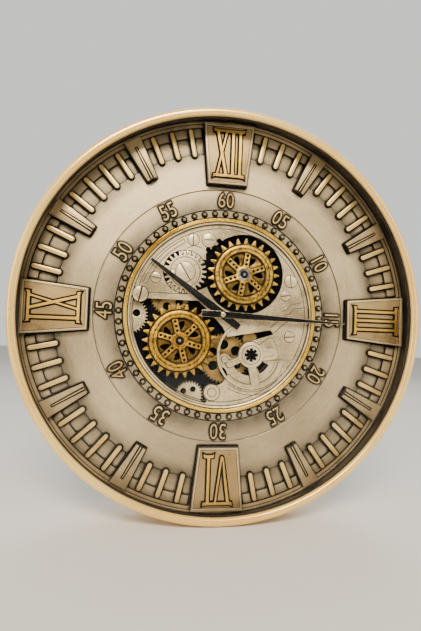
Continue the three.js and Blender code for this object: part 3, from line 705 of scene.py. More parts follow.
def tray_corner(clockwise, side):
    """Rounded fillet in an outer corner of a tray, at an angle from the marker beside it."""
    outer = LEDGE_INNER + 0.4
    corner = [(0, outer), (0, outer - FILLET)]
    for degrees in range(15, 90, 15):
        angle = math.radians(degrees)
        corner.append((FILLET - FILLET * math.cos(angle), outer - FILLET + FILLET * math.sin(angle)))
    corner.append((FILLET, outer))
    mesh = sheet([[(side * x, y) for x, y in corner]], SUNK + 0.4, LEDGE_TOP, ease=0.15)
    return to_hour(mesh, clockwise)


def border_parts():
    """Ring of the border, its twelve markers, the shoulder under each, and the fillets beside them."""
    parts = [turned([
        (LEDGE_INNER, SUNK + GAP), (dial_radius, SUNK + GAP), (dial_radius, BORDER_TOP),
        (BORDER_INNER, BORDER_TOP), (BORDER_INNER, LEDGE_TOP), (LEDGE_INNER, LEDGE_TOP)])]
    for hour in range(12):
        clockwise = hour * 30
        if hour % 3 == 0:
            face = tapered(PLATE_HALF, PLATE_EDGE, PLATE_HEAD_HALF, MARKER_HEAD)
            marker = sheet([face], MARKER_BACK, MARKER_TOP, ease=0.8)
            shoulder = tapered(34, SUNK_INNER + 1, 38, SHOULDER_HEAD)
            corner_half = 38.6
        else:
            face = tapered(WEDGE_HALF, WEDGE_EDGE, WEDGE_HEAD_HALF, MARKER_HEAD)
            marker = sheet([face], MARKER_BACK, WEDGE_TOP, ease=0.7)
            shoulder = tapered(9, SUNK_INNER + 1, 12.2, SHOULDER_HEAD)
            corner_half = 12.6
        corner = math.degrees(math.asin(corner_half / LEDGE_INNER))
        parts.append(to_hour(marker, clockwise))
        parts.append(to_hour(sheet([shoulder], SUNK + GAP, MARKER_BACK + 1), clockwise))
        parts.append(tray_corner(clockwise + corner, 1))
        parts.append(tray_corner(clockwise - corner, -1))
    return parts


border_bronze = antique_paint("border_bronze", shade(134, 110, 74), shade(226, 195, 142), shade(28, 22, 15),
                              shade(18, 14, 10), metal=0.5, rough=0.34, wash_and_shade_width=0.0045, wash_and_shade_weight=1.2)
as_piece("moulded_border", gathered(border_parts()), border_bronze, "body", "chapter_ring")
ridge_silver = antique_paint("ridge_silver", shade(176, 150, 106), shade(228, 204, 160), shade(60, 46, 28),
                             shade(16, 12, 8), metal=0.45, rough=0.32, wash_and_shade_width=0.0012, wash_and_shade_weight=0.9)
ridge_black = antique_paint("ridge_black", shade(20, 15, 10), shade(36, 28, 18), shade(14, 11, 8),
                            shade(8, 6, 5), metal=0.0, rough=0.6, gloss=0.1)
panel_bronze = antique_paint("panel_bronze", shade(132, 106, 66), shade(194, 160, 106), shade(60, 46, 28),
                             shade(24, 18, 11), metal=0.6, rough=0.32, wash_and_shade_width=0.003, wash_and_shade_weight=1.2)
FRAME_WIDTH = 2.9


def plate_outline(inset):
    """Outline of an hour plate, drawn in on all sides by an inset."""
    return tapered(PLATE_HALF - inset, PLATE_EDGE + inset, 38.4 - inset, 287 - inset)


def on_plates(loops, rise, depth, ease=0.0):
    """The same thin part on each of the four hour plates."""
    return gathered([to_hour(sheet(loops, MARKER_TOP - depth, MARKER_TOP + rise, ease), clockwise)
                     for clockwise in (0, 90, 180, 270)])


def on_wedges(foot_half, foot, head_half, head, rise):
    """The same slender blade on each of the eight wedges, narrowing toward the rim."""
    blade = tapered(foot_half, foot, head_half, head)
    return gathered([to_hour(sheet([blade], WEDGE_TOP - 0.5, WEDGE_TOP + rise, ease=0.12), hour * 30)
                     for hour in range(12) if hour % 3])


plate_frames = on_plates([plate_outline(0.9), plate_outline(FRAME_WIDTH)], 0.45, 0.3, ease=0.2)
plate_panels = on_plates([plate_outline(FRAME_WIDTH + 0.5)], 0.08, 0.2)
plate_lines = on_plates([plate_outline(FRAME_WIDTH - 0.1), plate_outline(FRAME_WIDTH + 0.7)], 0.15, 0.2)
loose_piece("plate_frames", plate_frames, ridge_silver, "body", "chapter_ring")
loose_piece("plate_panels", plate_panels, panel_bronze, "body", "chapter_ring")
loose_piece("plate_frame_lines", plate_lines, ridge_black, "body", "chapter_ring")
ridges = on_wedges(0.7, WEDGE_EDGE + 0.6, 0.45, 276, rise=0.5)
# Each wedge's slot is a black strip, painted shade.
slot_shade = on_wedges(3.3, WEDGE_EDGE + 0.3, 2.4, 277.5, rise=0.25)
loose_piece("wedge_ridges", ridges, ridge_silver, "body", "chapter_ring")
loose_piece("wedge_slot_shade", slot_shade, ridge_black, "body", "chapter_ring")
# Black for fine lines, for the antique wash round the markers' feet and for painted shadow.
black_line_wash_and_shadow = antique_paint("black_line_wash_and_shadow", shade(20, 15, 10), shade(34, 26, 17), shade(14, 11, 8),
                              shade(8, 6, 5), metal=0.0, rough=0.6, gloss=0.1)
MARKER_WASH_AND_SHADOW = 2.0
# Black sheet round each marker's foot: partly antique wash, partly painted shadow.
marker_wash_and_shadows = []
for hour in range(12):
    if hour % 3 == 0:
        foot = tapered(PLATE_HALF, PLATE_EDGE, 38.7, SHOULDER_HEAD)
    else:
        foot = tapered(WEDGE_HALF, WEDGE_EDGE, 12.7, SHOULDER_HEAD)
    outline = sheet([foot], FIELD + 0.02, FIELD + 0.75, 0, swell=MARKER_WASH_AND_SHADOW)
    marker_wash_and_shadows.append(to_hour(outline, hour * 30))
loose_piece("marker_wash_and_shadow", gathered(marker_wash_and_shadows), black_line_wash_and_shadow, "body", "chapter_ring")

# Batons and their strip
# The minutes between the markers are gilt batons with round ends that stand across the trays, on a
# strip let into the floor of each tray. The black round the foot of each baton is partly antique wash and
# partly painted shadow.
BATON_INNER = 241
BATON_OUTER = 283.5
BATON_HALF = 3.3
BATON_TOP = levels("baton_row_1")[1]
STRIP_INNER = 272
STRIP_TOP = 36.6
STRIP_START = 8.6
STRIP_END = 81.4


def is_baton_minute(minute):
    """The hours, and the minutes beside 12, 3, 6 and 9, carry no baton."""
    return minute % 5 != 0 and minute % 15 not in (1, 14)


def capsule(half, inner, outer):
    """Round-ended bar that points away from the axis."""
    return arc(0, outer - half, half, 0, 180, 10) + arc(0, inner + half, half, 180, 360, 10)


def batons(minutes, half, inner, outer, back, front, ease):
    """Bars at those of the minutes that carry a baton."""
    return gathered([to_hour(sheet([capsule(half, inner, outer)], back, front, ease), minute * 6)
                     for minute in minutes if is_baton_minute(minute)])


def strip_part(quarter):
    """Strip of a tray floor from one hour plate to the next."""
    start, end = STRIP_END - quarter * 90, STRIP_START - quarter * 90
    return sheet([arc(0, 0, LEDGE_INNER - GAP, start, end, 48) + arc(0, 0, STRIP_INNER, end, start, 48)],
                 SUNK + GAP, STRIP_TOP - 0.6, 0.4)


baton_gilt = antique_paint("baton_gilt", shade(210, 166, 88), shade(252, 216, 140), shade(30, 20, 10),
                           shade(18, 12, 7), metal=0.55, rough=0.32, wash_and_shade_width=0.0012, wash_and_shade_weight=0.5,
                           facing=(0.68, 0.93))
tray_silver = antique_paint("tray_silver", shade(132, 111, 80), shade(206, 180, 140), shade(28, 23, 17),
                            shade(20, 15, 10), metal=0.45, rough=0.36, wash_and_shade_width=0.007, wash_and_shade_weight=1.3)
for quarter in range(4):
    row = f"baton_row_{quarter + 1}"
    minutes = range(quarter * 15, quarter * 15 + 15)
    gilt_bars = batons(minutes, BATON_HALF, BATON_INNER, BATON_OUTER, FIELD + GAP, BATON_TOP, 0.9)
    # Black round each baton's foot: partly antique wash, partly painted shadow.
    baton_wash_and_shadows = batons(minutes, BATON_HALF + 1.7, BATON_INNER - 1.4, BATON_OUTER + 1.6, FIELD, FIELD + 1.7,
                       0.3)
    as_piece(f"batons_{quarter + 1}", gilt_bars, baton_gilt, "body", row)
    loose_piece(f"baton_wash_and_shadow_{quarter + 1}", baton_wash_and_shadows, black_line_wash_and_shadow, "body", row)
    loose_piece(f"tray_strip_{quarter + 1}", strip_part(quarter), tray_silver, "body", row)

# Roman numerals
# Four gilt numerals stand on the hour plates with their tops outward: thick and thin strokes drawn
# together between two serif bars, each numeral one casting glued to its plate.
NUMERAL_INNER = 207
NUMERAL_OUTER = 279
BAR = 3.6
THICK = 2.1
THIN = 1.4
FLARE = 1.9
SERIF_POINT = 1.6
SERIF_REACH = 3
SERIF_SPLAY = 0.6
NUMERAL_WASH_AND_SHADOW = 2.1
numeral_back, numeral_front = levels("numeral_12")


def evaluated(holder):
    """Mesh that an object's modifiers make, with the object cleared away."""
    depsgraph = bpy.context.evaluated_depsgraph_get()
    mesh = bpy.data.meshes.new_from_object(holder.evaluated_get(depsgraph))
    bpy.data.objects.remove(holder)
    return mesh


def combined(base, tools, operation):
    """One mesh cut by others, or fused with them."""
    holder = bpy.data.objects.new("combined", base)
    bpy.context.collection.objects.link(holder)
    bench = bpy.data.collections.new("bench")
    for tool in tools:
        bench.objects.link(bpy.data.objects.new("tool", tool))
    boolean = holder.modifiers.new("combined", "BOOLEAN")
    boolean.operation = operation
    boolean.operand_type = "COLLECTION"
    boolean.collection = bench
    boolean.solver = "EXACT"
    boolean.use_self = operation == "UNION"
    mesh = evaluated(holder)
    for tool in list(bench.objects):
        bpy.data.objects.remove(tool)
    bpy.data.collections.remove(bench)
    return mesh


def flared_stroke(inner_u, outer_u, half, inner_flare=FLARE):
    """Stroke from the inner bar to the outer bar that widens where it meets them."""
    low, high = NUMERAL_INNER + BAR / 2, NUMERAL_OUTER - BAR / 2
    rise = FLARE * 2.2
    span = high - low

    def across(v):
        return inner_u + (outer_u - inner_u) * (v - low) / span

    left = [(low, inner_flare), (low + rise * 0.4, inner_flare * 0.3), (low + rise, 0), (high - rise, 0),
            (high - rise * 0.4, FLARE * 0.3), (high, FLARE)]
    return ([(across(v) - half - extra, v) for v, extra in left]
            + [(across(v) + half + extra, v) for v, extra in reversed(left)])


def serif_bar(left, right, v, outward):
    """Bar across the strokes, with its ends drawn out to small points."""
    low, high = v - BAR / 2, v + BAR / 2
    tip = outward * SERIF_POINT
    bow = tip * 0.2
    if outward > 0:
        return [(left, low - bow), (right, low - bow), (right + SERIF_SPLAY, high + tip),
                (right - SERIF_REACH, high), (left + SERIF_REACH, high), (left - SERIF_SPLAY, high + tip)]
    return [(left - SERIF_SPLAY, low + tip), (left + SERIF_REACH, low), (right - SERIF_REACH, low),
            (right + SERIF_SPLAY, low + tip), (right, high - bow), (left, high - bow)]


def bars(left, right, inner_left=None, inner_right=None):
    """Outer and inner bar of a numeral; the inner one may have ends of its own."""
    inner_left = left if inner_left is None else inner_left
    inner_right = right if inner_right is None else inner_right
    return [serif_bar(left, right, NUMERAL_OUTER - BAR / 2, 1),
            serif_bar(inner_left, inner_right, NUMERAL_INNER + BAR / 2, -1)]


def one(u):
    """Stroke of an I."""
    return [flared_stroke(u, u, THICK)]


def ten(left, right):
    """Strokes of an X, the thin one rising to the right."""
    return [flared_stroke(right, left, THICK), flared_stroke(left, right, THIN)]


def five(left, right, foot):
    """Strokes of a V, which meet in a point at their foot."""
    return [flared_stroke(foot - 0.3, left, THICK, -1.2), flared_stroke(foot + 0.3, right, THIN, -0.6)]


numeral_gilt = antique_paint("numeral_gilt", shade(184, 134, 50), shade(240, 194, 98), shade(26, 18, 10),
                             shade(16, 11, 7), metal=0.82, rough=0.3, wash_and_shade_width=0.001, wash_and_shade_weight=0.5,
                             facing=(0.74, 0.94))
numerals = {
    "12": (0, bars(-23.2, 23.2) + ten(-18, -3.8) + one(6) + one(17)),
    "3": (90, bars(-21.5, 21.5) + one(-14) + one(0) + one(14)),
    "6": (180, bars(-21.5, 21.5, 7.2, 21.5) + one(14.4) + five(-16, 3.2, -5)),
    "9": (270, bars(-20.5, 22.5) + one(-14.3) + ten(-1.8, 17)),
}
for label, (clockwise, strokes) in numerals.items():
    flat = [sheet([stroke], numeral_back, numeral_front, ease=0) for stroke in strokes]
    casting = combined(flat[0], flat[1:], "UNION")
    as_piece(f"gilt_numeral_{label}", to_hour(casting, clockwise), numeral_gilt, "body", f"numeral_{label}",
             ease=1.0)
    # Black round the foot of each stroke: partly antique wash, partly painted shadow.
    feet = [sheet([stroke], MARKER_TOP - 0.3, MARKER_TOP + 0.5, ease=0, swell=NUMERAL_WASH_AND_SHADOW)
            for stroke in strokes]
    footing = to_hour(combined(feet[0], feet[1:], "UNION"), clockwise)
    loose_piece(f"numeral_wash_and_shadow_{label}", footing, black_line_wash_and_shadow, "body", f"numeral_{label}")

# Minute figures
# The minutes from 05 to 60 are figures cast with the dial plate on its track, in dull gold; the black round
# their foot is partly antique wash and partly painted shadow. Every pair stands with its top outward.
FIGURE_RADIUS = 173.6
FIGURE_HEIGHT = 24
CAPITAL_SHARE = 0.73
FIGURE_NARROWING = 0.78
FIGURE_BACK = TRACK_TOP - 0.2
FIGURE_TOP = TRACK_TOP + 2.6
FOOTING_TOP = TRACK_TOP + 1.4


def minute_pair(minute, swell, back, front, ease):
    """Two figures with tops outward, swollen all round by a given amount."""
    face = bpy.data.curves.new("figures", "FONT")
    face.body = f"{minute:02d}"
    face.align_x = "CENTER"
    face.align_y = "CENTER"
    face.size = FIGURE_HEIGHT / CAPITAL_SHARE
    face.space_character = 1.02
    face.extrude = (front - back) / 2 - ease
    face.bevel_depth = ease
    face.bevel_resolution = 1
    face.offset = swell - ease
    face.resolution_u = 5
    mesh = meshed(face)
    mesh.transform(Matrix.Translation((0, FIGURE_RADIUS, (back + front) / 2))
                   @ Matrix.Diagonal((FIGURE_NARROWING, 1, 1, 1)))
    return to_hour(mesh, minute * 6)


figure_gilt = antique_paint("figure_gilt", shade(178, 142, 80), shade(232, 198, 128), shade(22, 16, 10),
                            shade(18, 13, 8), metal=0.6, rough=0.32, wash_and_shade_width=0.0008, wash_and_shade_weight=0.5,
                            facing=(0.74, 0.94))
minutes = range(5, 65, 5)
figures = gathered([minute_pair(minute, -0.2, FIGURE_BACK, FIGURE_TOP, 0.35) for minute in minutes])
# Black round each figure's foot: partly antique wash, partly painted shadow.
figure_wash_and_shadows = gathered([minute_pair(minute, 1.9, FIGURE_BACK, FOOTING_TOP, 0.1) for minute in minutes])
loose_piece("minute_figures", figures, figure_gilt, "body", "dial_plate")
loose_piece("figure_wash_and_shadow", figure_wash_and_shadows, black_line_wash_and_shadow, "body", "dial_plate")

# Bead ring
# Inside the track runs a low cast ring with sixty round beads, one to a minute, in a channel between two
# black lines. A black ring round the foot of each bead is painted shadow, and each bead's bright crown is
# a painted highlight above sides in painted shade.
bead_back, bead_front = levels("bead_ring")
BEADS_INNER = 147.6
BEAD_CIRCLE = 153.9
BEAD_RADIUS = 4.1
BEAD_SHADOW_WIDTH = 0.9
RING_TOP = 35.4
LINE_WIDTH = 1.6


def dome(x, y, radius, back, front, rings=5, sides=20):
    """Round bead that stands on a surface."""
    shape = bmesh.new()
    crown = shape.verts.new((x, y, front))
    rows = []
    for ring in range(1, rings + 1):
        angle = ring / rings * math.pi / 2
        rows.append([shape.verts.new((x + radius * math.sin(angle) * math.cos(side * math.tau / sides),
                                      y + radius * math.sin(angle) * math.sin(side * math.tau / sides),
                                      back + (front - back) * math.cos(angle))) for side in range(sides)])
    for side in range(sides):
        following = (side + 1) % sides
        shape.faces.new((crown, rows[0][side], rows[0][following]))
        for inner, outer in zip(rows, rows[1:]):
            shape.faces.new((inner[side], outer[side], outer[following], inner[following]))
    shape.faces.new(list(reversed(rows[-1])))
    return finished_mesh(shape, "dome")


# The beads' bright crowns are a painted highlight and their darker sides painted shade.
bead_bronze = antique_paint("bead_bronze", shade(96, 82, 54), shade(168, 148, 106), shade(44, 36, 23),
                            shade(14, 10, 7), metal=0.4, rough=0.24, wash_and_shade_width=0.0008, wash_and_shade_weight=0.4,
                            facing=(0.72, 0.99))
bead_ground = antique_paint("bead_ground", shade(120, 103, 76), shade(184, 163, 128), shade(30, 23, 15),
                            shade(16, 12, 8), metal=0.45, rough=0.34, wash_and_shade_width=0.0026, wash_and_shade_weight=1.5)
bead_base = turned([
    (BEADS_INNER, bead_back), (TRACK_INNER - GAP, bead_back), (TRACK_INNER - GAP, RING_TOP - 0.9),
    (TRACK_INNER - LINE_WIDTH, RING_TOP - 0.9), (TRACK_INNER - 1.8, RING_TOP - 0.5),
    (BEADS_INNER + 1.8, RING_TOP - 0.5), (BEADS_INNER + LINE_WIDTH, RING_TOP - 0.9),
    (BEADS_INNER, RING_TOP - 0.9)])
bead_spots = [spot_at(BEAD_CIRCLE, 6 * minute) for minute in range(60)]
beads = [dome(*spot, BEAD_RADIUS, RING_TOP - 0.2, bead_front + 0.4) for spot in bead_spots]
# A black ring round each bead's foot is painted shadow.
bead_shadows = [sheet([ring_loop(*spot, BEAD_RADIUS + BEAD_SHADOW_WIDTH, 20)], RING_TOP - 0.6, RING_TOP - 0.35, 0)
             for spot in bead_spots]
channel_lines = [flat_ring(inner, outer, RING_TOP - 0.95, RING_TOP - 0.8) for inner, outer in (
    (BEADS_INNER, BEADS_INNER + LINE_WIDTH), (TRACK_INNER - LINE_WIDTH, TRACK_INNER - GAP))]
as_piece("bead_channel", bead_base, bead_ground, "body", "bead_ring")
loose_piece("round_beads", gathered(beads), bead_bronze, "body", "bead_ring")
loose_piece("channel_lines", gathered(bead_shadows + channel_lines), black_line_wash_and_shadow, "body", "bead_ring")

# Bezel
# A bright gold ring covers the edge of the movement plate, with a narrow silvered lip on its inner side.
# A groove runs on each side of the lip, and the black ring in each is painted shade.
bezel_back, bezel_front = levels("gold_bezel")
PLATE_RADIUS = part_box("movement_plate")[1].x / MM
BEZEL_STEP = 141.5
bezel_gilt = antique_paint("bezel_gilt", shade(222, 162, 46), shade(255, 212, 92), shade(92, 66, 28),
                           shade(36, 26, 13), metal=0.85, rough=0.26, wash_and_shade_width=0.0014)
as_piece("gilt_bezel", turned([
    (BEZEL_STEP - 0.9, bezel_back), (BEADS_INNER - GAP, bezel_back), (BEADS_INNER - GAP, bezel_front - 0.9),
    (BEADS_INNER - 1.2, bezel_front), (BEZEL_STEP + 0.8, bezel_front), (BEZEL_STEP, bezel_front - 0.9),
    (BEZEL_STEP - 0.9, bezel_front - 0.9)]), bezel_gilt, "body", "gold_bezel", ease=0.2)
# The black rings in the grooves beside the lip are painted shade.
bezel_groove_shade = [flat_ring(inner, outer, bezel_front - depth - 0.2, bezel_front - depth)
                 for inner, outer, depth in ((BEZEL_STEP - 0.9, BEZEL_STEP + 0.4, 0.8),
                                             (PLATE_RADIUS + GAP, PLATE_RADIUS + 1.5, 1.0))]
loose_piece("bezel_groove_shade", gathered(bezel_groove_shade), black_line_wash_and_shadow, "body", "gold_bezel")
plate_silver = antique_paint("plate_silver", shade(182, 156, 114), shade(244, 220, 176), shade(84, 66, 42),
                             shade(34, 25, 15), metal=0.6, rough=0.28, wash_and_shade_width=0.0018, wash_and_shade_weight=1.4,
                             drift_scale=22.0, facing=(0.6, 0.93))
silvered_lip = turned([
    (PLATE_RADIUS + GAP, bezel_back), (BEZEL_STEP - 0.9, bezel_back), (BEZEL_STEP - 0.9, bezel_front - 0.8),
    (BEZEL_STEP - 1.5, bezel_front - 0.3), (PLATE_RADIUS + 1.6, bezel_front - 0.3),
    (PLATE_RADIUS + GAP, bezel_front - 1.2)])
loose_piece("silvered_lip", silvered_lip, plate_silver, "body", "gold_bezel")

# Movement plate
# A pale champagne plate with large windows cut round the wheels: one round the upper gear and the
# silver wheel, one that opens the whole lower left, and two sectors under the balance.
plate_back, plate_front = levels("movement_plate")
UPPER_GEAR = (33, 63.4)
LOWER_GEAR = (-62.3, -41.4)
SILVER_WHEEL = (-57.9, 62.3)
BALANCE = (47.4, -59.4)
UPPER_WINDOW = 61.5
WHEEL_WINDOW = 33.5
THROAT = [(-41.8, 33), (-25.3, 40.6), (-12, 62), (-8, 104), (-17, 107), (-20, 99), (-28, 92), (-27, 82),
          (-40, 84)]
TONGUE = [(-133.4, 19.8), (-36, 19.8), (-11.8, -4), (2.3, -18.2), (10.1, -33), (77, -20.5), (82.3, -26.8),
          (40.9, -40.5), (33, -46), (29.5, -50.6), (27.7, -59.4), (29, -65.6), (16.3, -65.6), (12, -60.5),
          (6.6, -58.6), (1.5, -60.6), (-3.2, -66), (-1, -78), (7, -80.5), (11, -86), (11.5, -91),
          (8.2, -96.4), (7, -100.5), (0, -106), (-8, -107)]
LOBE = (-11, -117.3)
LOBE_RADIUS = 13.2
SECTOR_INNER = 17.6
SECTOR_OUTER = 32
ROUND_HOLE = 4.2


def sector(centre, inner, outer, start, end, steps=28):
    """Part of a ring between two angles."""
    return arc(*centre, outer, start, end, steps) + arc(*centre, inner, end, start, steps)


def left_window():
    """Window that opens the lower left: a long tongue above, round the lobe below, the bezel outside."""
    return TONGUE + arc(*LOBE, LOBE_RADIUS, 100, 238, 14) + arc(0, 0, OPEN_RADIUS + 0.8, 261.5, 172.4, 60)


def movement_windows():
    """Blocks that cut the windows and the round holes out of the plate."""
    loops = [ring_loop(*UPPER_GEAR, UPPER_WINDOW), ring_loop(*SILVER_WHEEL, WHEEL_WINDOW, 64), THROAT,
             left_window(), ring_loop(0, 0, 5, 32), ring_loop(-7.7, 112.2, ROUND_HOLE, 24),
             ring_loop(-24.2, 97.9, ROUND_HOLE, 24), sector(BALANCE, SECTOR_INNER, SECTOR_OUTER, 215, 268),
             sector(BALANCE, SECTOR_INNER, SECTOR_OUTER, 297, 333)]
    return [sheet([loop], plate_back - 2, plate_front + 2, ease=0) for loop in loops]


plate_blank = flat_ring(0, PLATE_RADIUS, plate_back, plate_front)
as_piece("windowed_plate", combined(plate_blank, movement_windows(), "DIFFERENCE"), plate_silver, "body",
         "movement_plate", ease=0.35)

# Lines and screws on the movement plate
# Fine moulded lines follow the plate's edge, its bridges and the balance, and round slotted screw heads
# stand on it in low relief. All of it is cast with the plate but for the large screw at its left edge.
LINE = 0.62
UPPER_SCREW = (-23.5, 112.7)
EDGE_SCREW = (-123.3, 25.9)
EDGE_SCREW_SLOT = 2.2


def wire(points, half, closed=False):
    """Thin round thread along a path of (x, y, z) points."""
    curve = bpy.data.curves.new("wire", "CURVE")
    curve.dimensions = "3D"
    curve.bevel_depth = half
    curve.bevel_resolution = 1
    curve.use_fill_caps = True
    draw_path(curve, points, closed)
    return meshed(curve)


def moulded_line(points, closed=False, half=LINE, lift=0.0):
    """Flattened thread, half sunk in the plate or lifted off it, along a path of (x, y) points."""
    mesh = wire([(x, y, 0) for x, y in points], half, closed)
    mesh.transform(Matrix.Translation((0, 0, plate_front)) @ Matrix.Diagonal((1, 1, 0.5, 1)))
    mesh.transform(Matrix.Translation((0, 0, lift)))
    return mesh


def rod(x0, y0, x1, y1, half, steps=8):
    """Outline of a bar with round ends between two points."""
    along = math.degrees(math.atan2(y1 - y0, x1 - x0))
    return (arc(x1, y1, half, along - 90, along + 90, steps)
            + arc(x0, y0, half, along + 90, along + 270, steps))


def slotted_head(x, y, radius, slot_angle, back, front, slot=1.5):
    """Screw head: a low disc with a slot across it, its edge rounded."""
    gap = math.degrees(math.asin(slot / 2 / radius))
    halves = [arc(x, y, radius, slot_angle + side + gap, slot_angle + side + 180 - gap, 22)
              for side in (0, 180)]
    slot_floor = sheet([ring_loop(x, y, radius - 0.2, 44)], back, front - 0.8, 0.1)
    return gathered([slot_floor, *[sheet([half], back, front, 0.3) for half in halves]])


def slot_shadow(x, y, radius, slot_angle, front, slot=1.5):
    """Dark strip on the floor of a screw's slot."""
    dx, dy = spot_at(radius, slot_angle)
    return sheet([rod(x - dx, y - dy, x + dx, y + dy, slot / 2 - 0.05, 2)], front - 0.8, front - 0.6, 0)


line_brown = antique_paint("line_brown", shade(44, 32, 19), shade(74, 56, 34), shade(34, 25, 15),
                           shade(44, 32, 19), metal=0.2, rough=0.5)
edge_lines = [
    moulded_line(arc(0, 0, 131.4, -128, 166, 150)),
    moulded_line(arc(0, 0, 127.5, 119, 160, 24) + arc(0, 0, 122, 160, 119, 24), closed=True),
    moulded_line([(-112, 29), (-56, 29)]),
]
bridge_lines = [
    moulded_line([(94, 9), (103, 12), (108, 20), (125, 24)]),
    moulded_line([(98, 3), (107, 6), (113, 14), (128, 16)]),
    moulded_line([(76, -18), (92, -3), (103, 2)]),
    moulded_line([(84, -24), (99, -9), (110, -4)]),
    moulded_line([(-57, 98), (-46, 103), (-34, 100)]),
]
relief_screws = [(-47.3, 111.6, 8.4, 90), (-101.7, 51.7, 7.7, 172), (107.4, 56.5, 9.5, 96),
                 (99.5, 33.4, 7.3, 10), (107.8, -30.1, 7.9, 5)]
heads = [slotted_head(x, y, radius, slot_angle, plate_front - 0.3, plate_front + 0.9)
         for x, y, radius, slot_angle in relief_screws]
heads.append(sheet([ring_loop(*UPPER_SCREW, 10.5, 48)], plate_front - 0.3, plate_front + 0.6, 0.25))
heads.append(slotted_head(*UPPER_SCREW, 7.3, 0, plate_front - 0.3, plate_front + 1.3))
heads.append(sheet([ring_loop(*LOBE, 6.2, 40)], plate_front - 0.3, plate_front + 0.6, 0.25))
ringed = [(x, y, radius) for x, y, radius, slot_angle in relief_screws]
ringed += [(*UPPER_SCREW, 10.5), (*UPPER_SCREW, 7.3), (*LOBE, 6.2), (*LOBE, 12)]
# The dark rings round the screw heads are painted shade at their foot.
rings = [moulded_line(ring_loop(x, y, radius + 0.4, 44), closed=True, half=0.65) for x, y, radius in ringed]
slots = [slot_shadow(x, y, radius - 0.6, angle, plate_front + 0.9) for x, y, radius, angle in relief_screws]
slots.append(slot_shadow(*UPPER_SCREW, 6.7, 0, plate_front + 1.3))
loose_piece("plate_lines", gathered([*edge_lines, *bridge_lines, *rings, *slots]), line_brown, "body",
            "movement_plate")
loose_piece("relief_screws", gathered(heads), plate_silver, "body", "movement_plate")
screw_back, screw_front = levels("large_screw")
edge_head = slotted_head(*EDGE_SCREW, 11.4, 78, screw_back, screw_front, EDGE_SCREW_SLOT)
as_piece("edge_screw", edge_head, plate_silver, "body", "large_screw")
# The dark strip in the slot and the dark ring round the head are painted shadow.
edge_screw_shadows = [slot_shadow(*EDGE_SCREW, 10.8, 78, screw_front, EDGE_SCREW_SLOT),
                   sheet([ring_loop(*EDGE_SCREW, 12.3, 48)], plate_front + 0.05, plate_front + 0.5, 0)]
loose_piece("edge_screw_shadow", gathered(edge_screw_shadows), black_line_wash_and_shadow, "body", "large_screw")

# Balance
# The balance at the lower right is a flat dummy: a hub with a splined hole, arms to the rim, a thin free
# arc that crosses the left window, and a bracket with two small pins, all in the plate's silver. The dark
# socket in its hub is the tray's black.
balance_back, balance_front = levels("balance_wheel")
HUB = 19.6
RIM_OUTER = 52.8
RIM_INNER = 45
BRACKET_ROD = (65.5, -55.8, 78.6, -53)
SEAM = 0.5


def splined_hole(x, y, splines=8, tip=10.5, root=6.7, half_width=2.5):
    """Star-shaped hole whose lobes have straight sides."""
    at_tip = math.degrees(math.asin(half_width / tip))
    at_root = math.degrees(math.asin(half_width / root))
    points = []
    for i in range(splines):
        middle = i * 360 / splines
        points += arc(x, y, tip, middle - at_tip, middle + at_tip, 2)
        points += arc(x, y, root, middle + at_root, middle + 360 / splines - at_root, 2)
    return points


def flat_balance_parts():
    """Each flat part of the balance on the plate: its outline and its front."""
    low, high = balance_front - 1.2, balance_front - 0.4
    return [
        (ring_loop(*BALANCE, HUB, 72), balance_front),
        (sector(BALANCE, RIM_INNER, RIM_OUTER, 222, 352, 56), low),
        (rod(15, -73.9, 31.5, -66, 4.6), high),
        (ring_loop(15, -73.9, 5.7, 32), high + 0.2),
        (ring_loop(7, -67.3, 4.8, 32), high - 0.4),
        ([(42.5, -74), (54.5, -74), (62.4, -103.4), (49.6, -107.2)], high),
        ([(58.5, -45), (62, -42.7), (76, -33), (80, -33.6), (84, -41), (88.5, -54), (90.6, -61),
          (87.4, -64.9), (61, -69)], low),
        (rod(*BRACKET_ROD, 6.6), high),
        (rod(75, -69, 115, -67, 1.2), plate_front + 0.6),
    ]


def balance_parts():
    """Every part of the balance: flat ones, the free arc, the bracket's pins and the plate's studs."""
    hub, *rest = [sheet([loop], balance_back, front, 0.3) for loop, front in flat_balance_parts()]
    star = sheet([splined_hole(*BALANCE)], balance_back - 1, balance_front + 1, 0)
    free_arc = sheet([sector(BALANCE, 49.4, RIM_OUTER, 106, 224, 48)], balance_back, balance_front - 0.9, 0.3)
    parts = [combined(hub, [star], "DIFFERENCE"), *rest, free_arc]
    for pin_x, pin_y, radius in ((16.5, -73.7, 2.6), (55.5, -93.7, 2.6), (68.2, -53.5, 2), (75.9, -52.8, 2)):
        parts.append(dome(pin_x, pin_y, radius, balance_back, balance_front + 0.1, rings=3, sides=16))
    for pin_x, pin_y in ((25.3, -108.9), (36.7, -112.7), (49.1, -112.7), (84, -95.7), (91.7, -83.6)):
        parts.append(sheet([ring_loop(pin_x, pin_y, 2, 16)], plate_front - 0.3, plate_front + 1, 0.2))
    return parts


as_piece("dummy_balance", gathered(balance_parts()), plate_silver, "body", "balance_wheel")
seams = [moulded_line(arc(*BALANCE, radius, start, end, 60), half=SEAM)
         for radius, start, end in ((56.5, 232, 330), (61, 236, 300), (28, -60, 20), (40, -42, 12))]
seams += [moulded_line(path, closed=True, half=SEAM, lift=level - plate_front) for path, level in (
    (ring_loop(*BALANCE, 14.4, 48), balance_front), (rod(*BRACKET_ROD, 6.8), balance_front - 1.2))]
